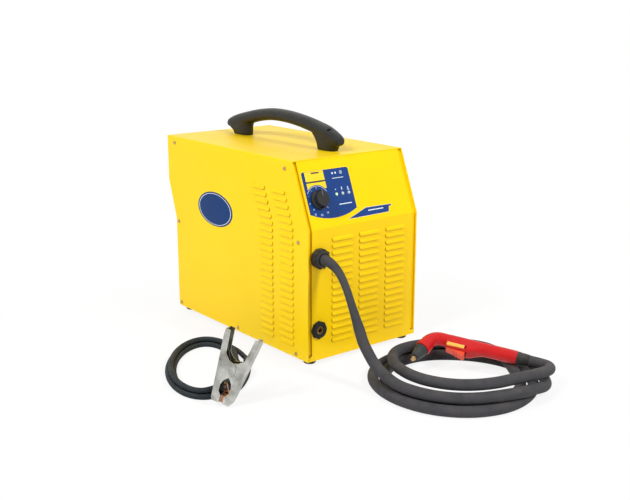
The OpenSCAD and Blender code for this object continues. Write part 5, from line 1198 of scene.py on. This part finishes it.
# %% [markdown]
# Three soft lamps do the lighting: one high on the left, which keeps the side brighter than the front, one
# above the controls, which draws a line under every louvre, and one behind. They don't show in reflections.

# %% Lamps
def lamp(name, at, towards, size, power):
    """A round soft lamp: its place and target, its size in metres and its power in watts."""
    data = bpy.data.lights.new(name, "AREA")
    data.shape, data.size, data.energy = "DISK", size, power
    made = bpy.data.objects.new(name, data)
    scene.collection.objects.link(made)
    made.location = at
    made.rotation_mode = "QUATERNION"
    made.rotation_quaternion = (Vector(towards) - Vector(at)).to_track_quat("-Z", "Y")
    made.visible_glossy = False


lamp("key", (-2.3, -0.6, 2.2), (0, 0, 0.2), 0.8, 57)
lamp("front", (0.4, -2.4, 2.0), (0, -0.25, 0.2), 0.6, 42)
lamp("back", (1.6, 2.4, 1.4), (0, 0, 0.2), 1.6, 40)

print("lamps ready")

# %% [markdown]
# The floor is pale and matt, so that it takes the soft shadow that holds the machine down. A plain floor
# would end in a grey horizon, so for the camera it turns into pure white further out.

# %% Floor
FLOOR_HALF, FLOOR_GREY, FLOOR_ROUGH, FLOOR_SHINE = 30, 0.9, 0.7, 0.1
floor_corners = [(x * FLOOR_HALF, y * FLOOR_HALF, 0) for x, y in ((-1, -1), (1, -1), (1, 1), (-1, 1))]
floor = new_piece("floor", floor_corners, [(0, 1, 2, 3)], "unit")
ground = bpy.data.materials.new("white floor")
ground.use_nodes = True
floor_tree = ground.node_tree
matt = floor_tree.nodes["Principled BSDF"]
matt.inputs["Base Color"].default_value = (FLOOR_GREY, FLOOR_GREY, FLOOR_GREY, 1)
matt.inputs["Roughness"].default_value = FLOOR_ROUGH
matt.inputs["Specular IOR Level"].default_value = FLOOR_SHINE
glowing = add_node(floor_tree, "ShaderNodeEmission", {"Color": PURE_WHITE, "Strength": 1.0})
# White takes over from the shadowed floor between NEAR and FAR metres from the machine's middle
MIDDLE_OFF, NEAR, FAR, WHITE_NEAR, WHITE_FAR = (0.1, 0.2, 0.0), 0.42, 0.75, 0.84, 1.0
here = add_node(floor_tree, "ShaderNodeNewGeometry").outputs["Position"]
spot = add_node(floor_tree, "ShaderNodeVectorMath", {0: here, 1: MIDDLE_OFF}, operation="ADD")
far_off = add_node(floor_tree, "ShaderNodeVectorMath", {0: spot.outputs["Vector"]}, operation="LENGTH")
whiteness = span(floor_tree, far_off.outputs["Value"], NEAR, FAR, WHITE_NEAR, WHITE_FAR)
white_share = arithmetic(floor_tree, "MULTIPLY", seen_directly(floor_tree), whiteness)
mix_shaders(floor_tree, white_share, matt.outputs["BSDF"], glowing.outputs["Emission"], "Material Output")
floor.data.materials.append(ground)
print("floor ready")
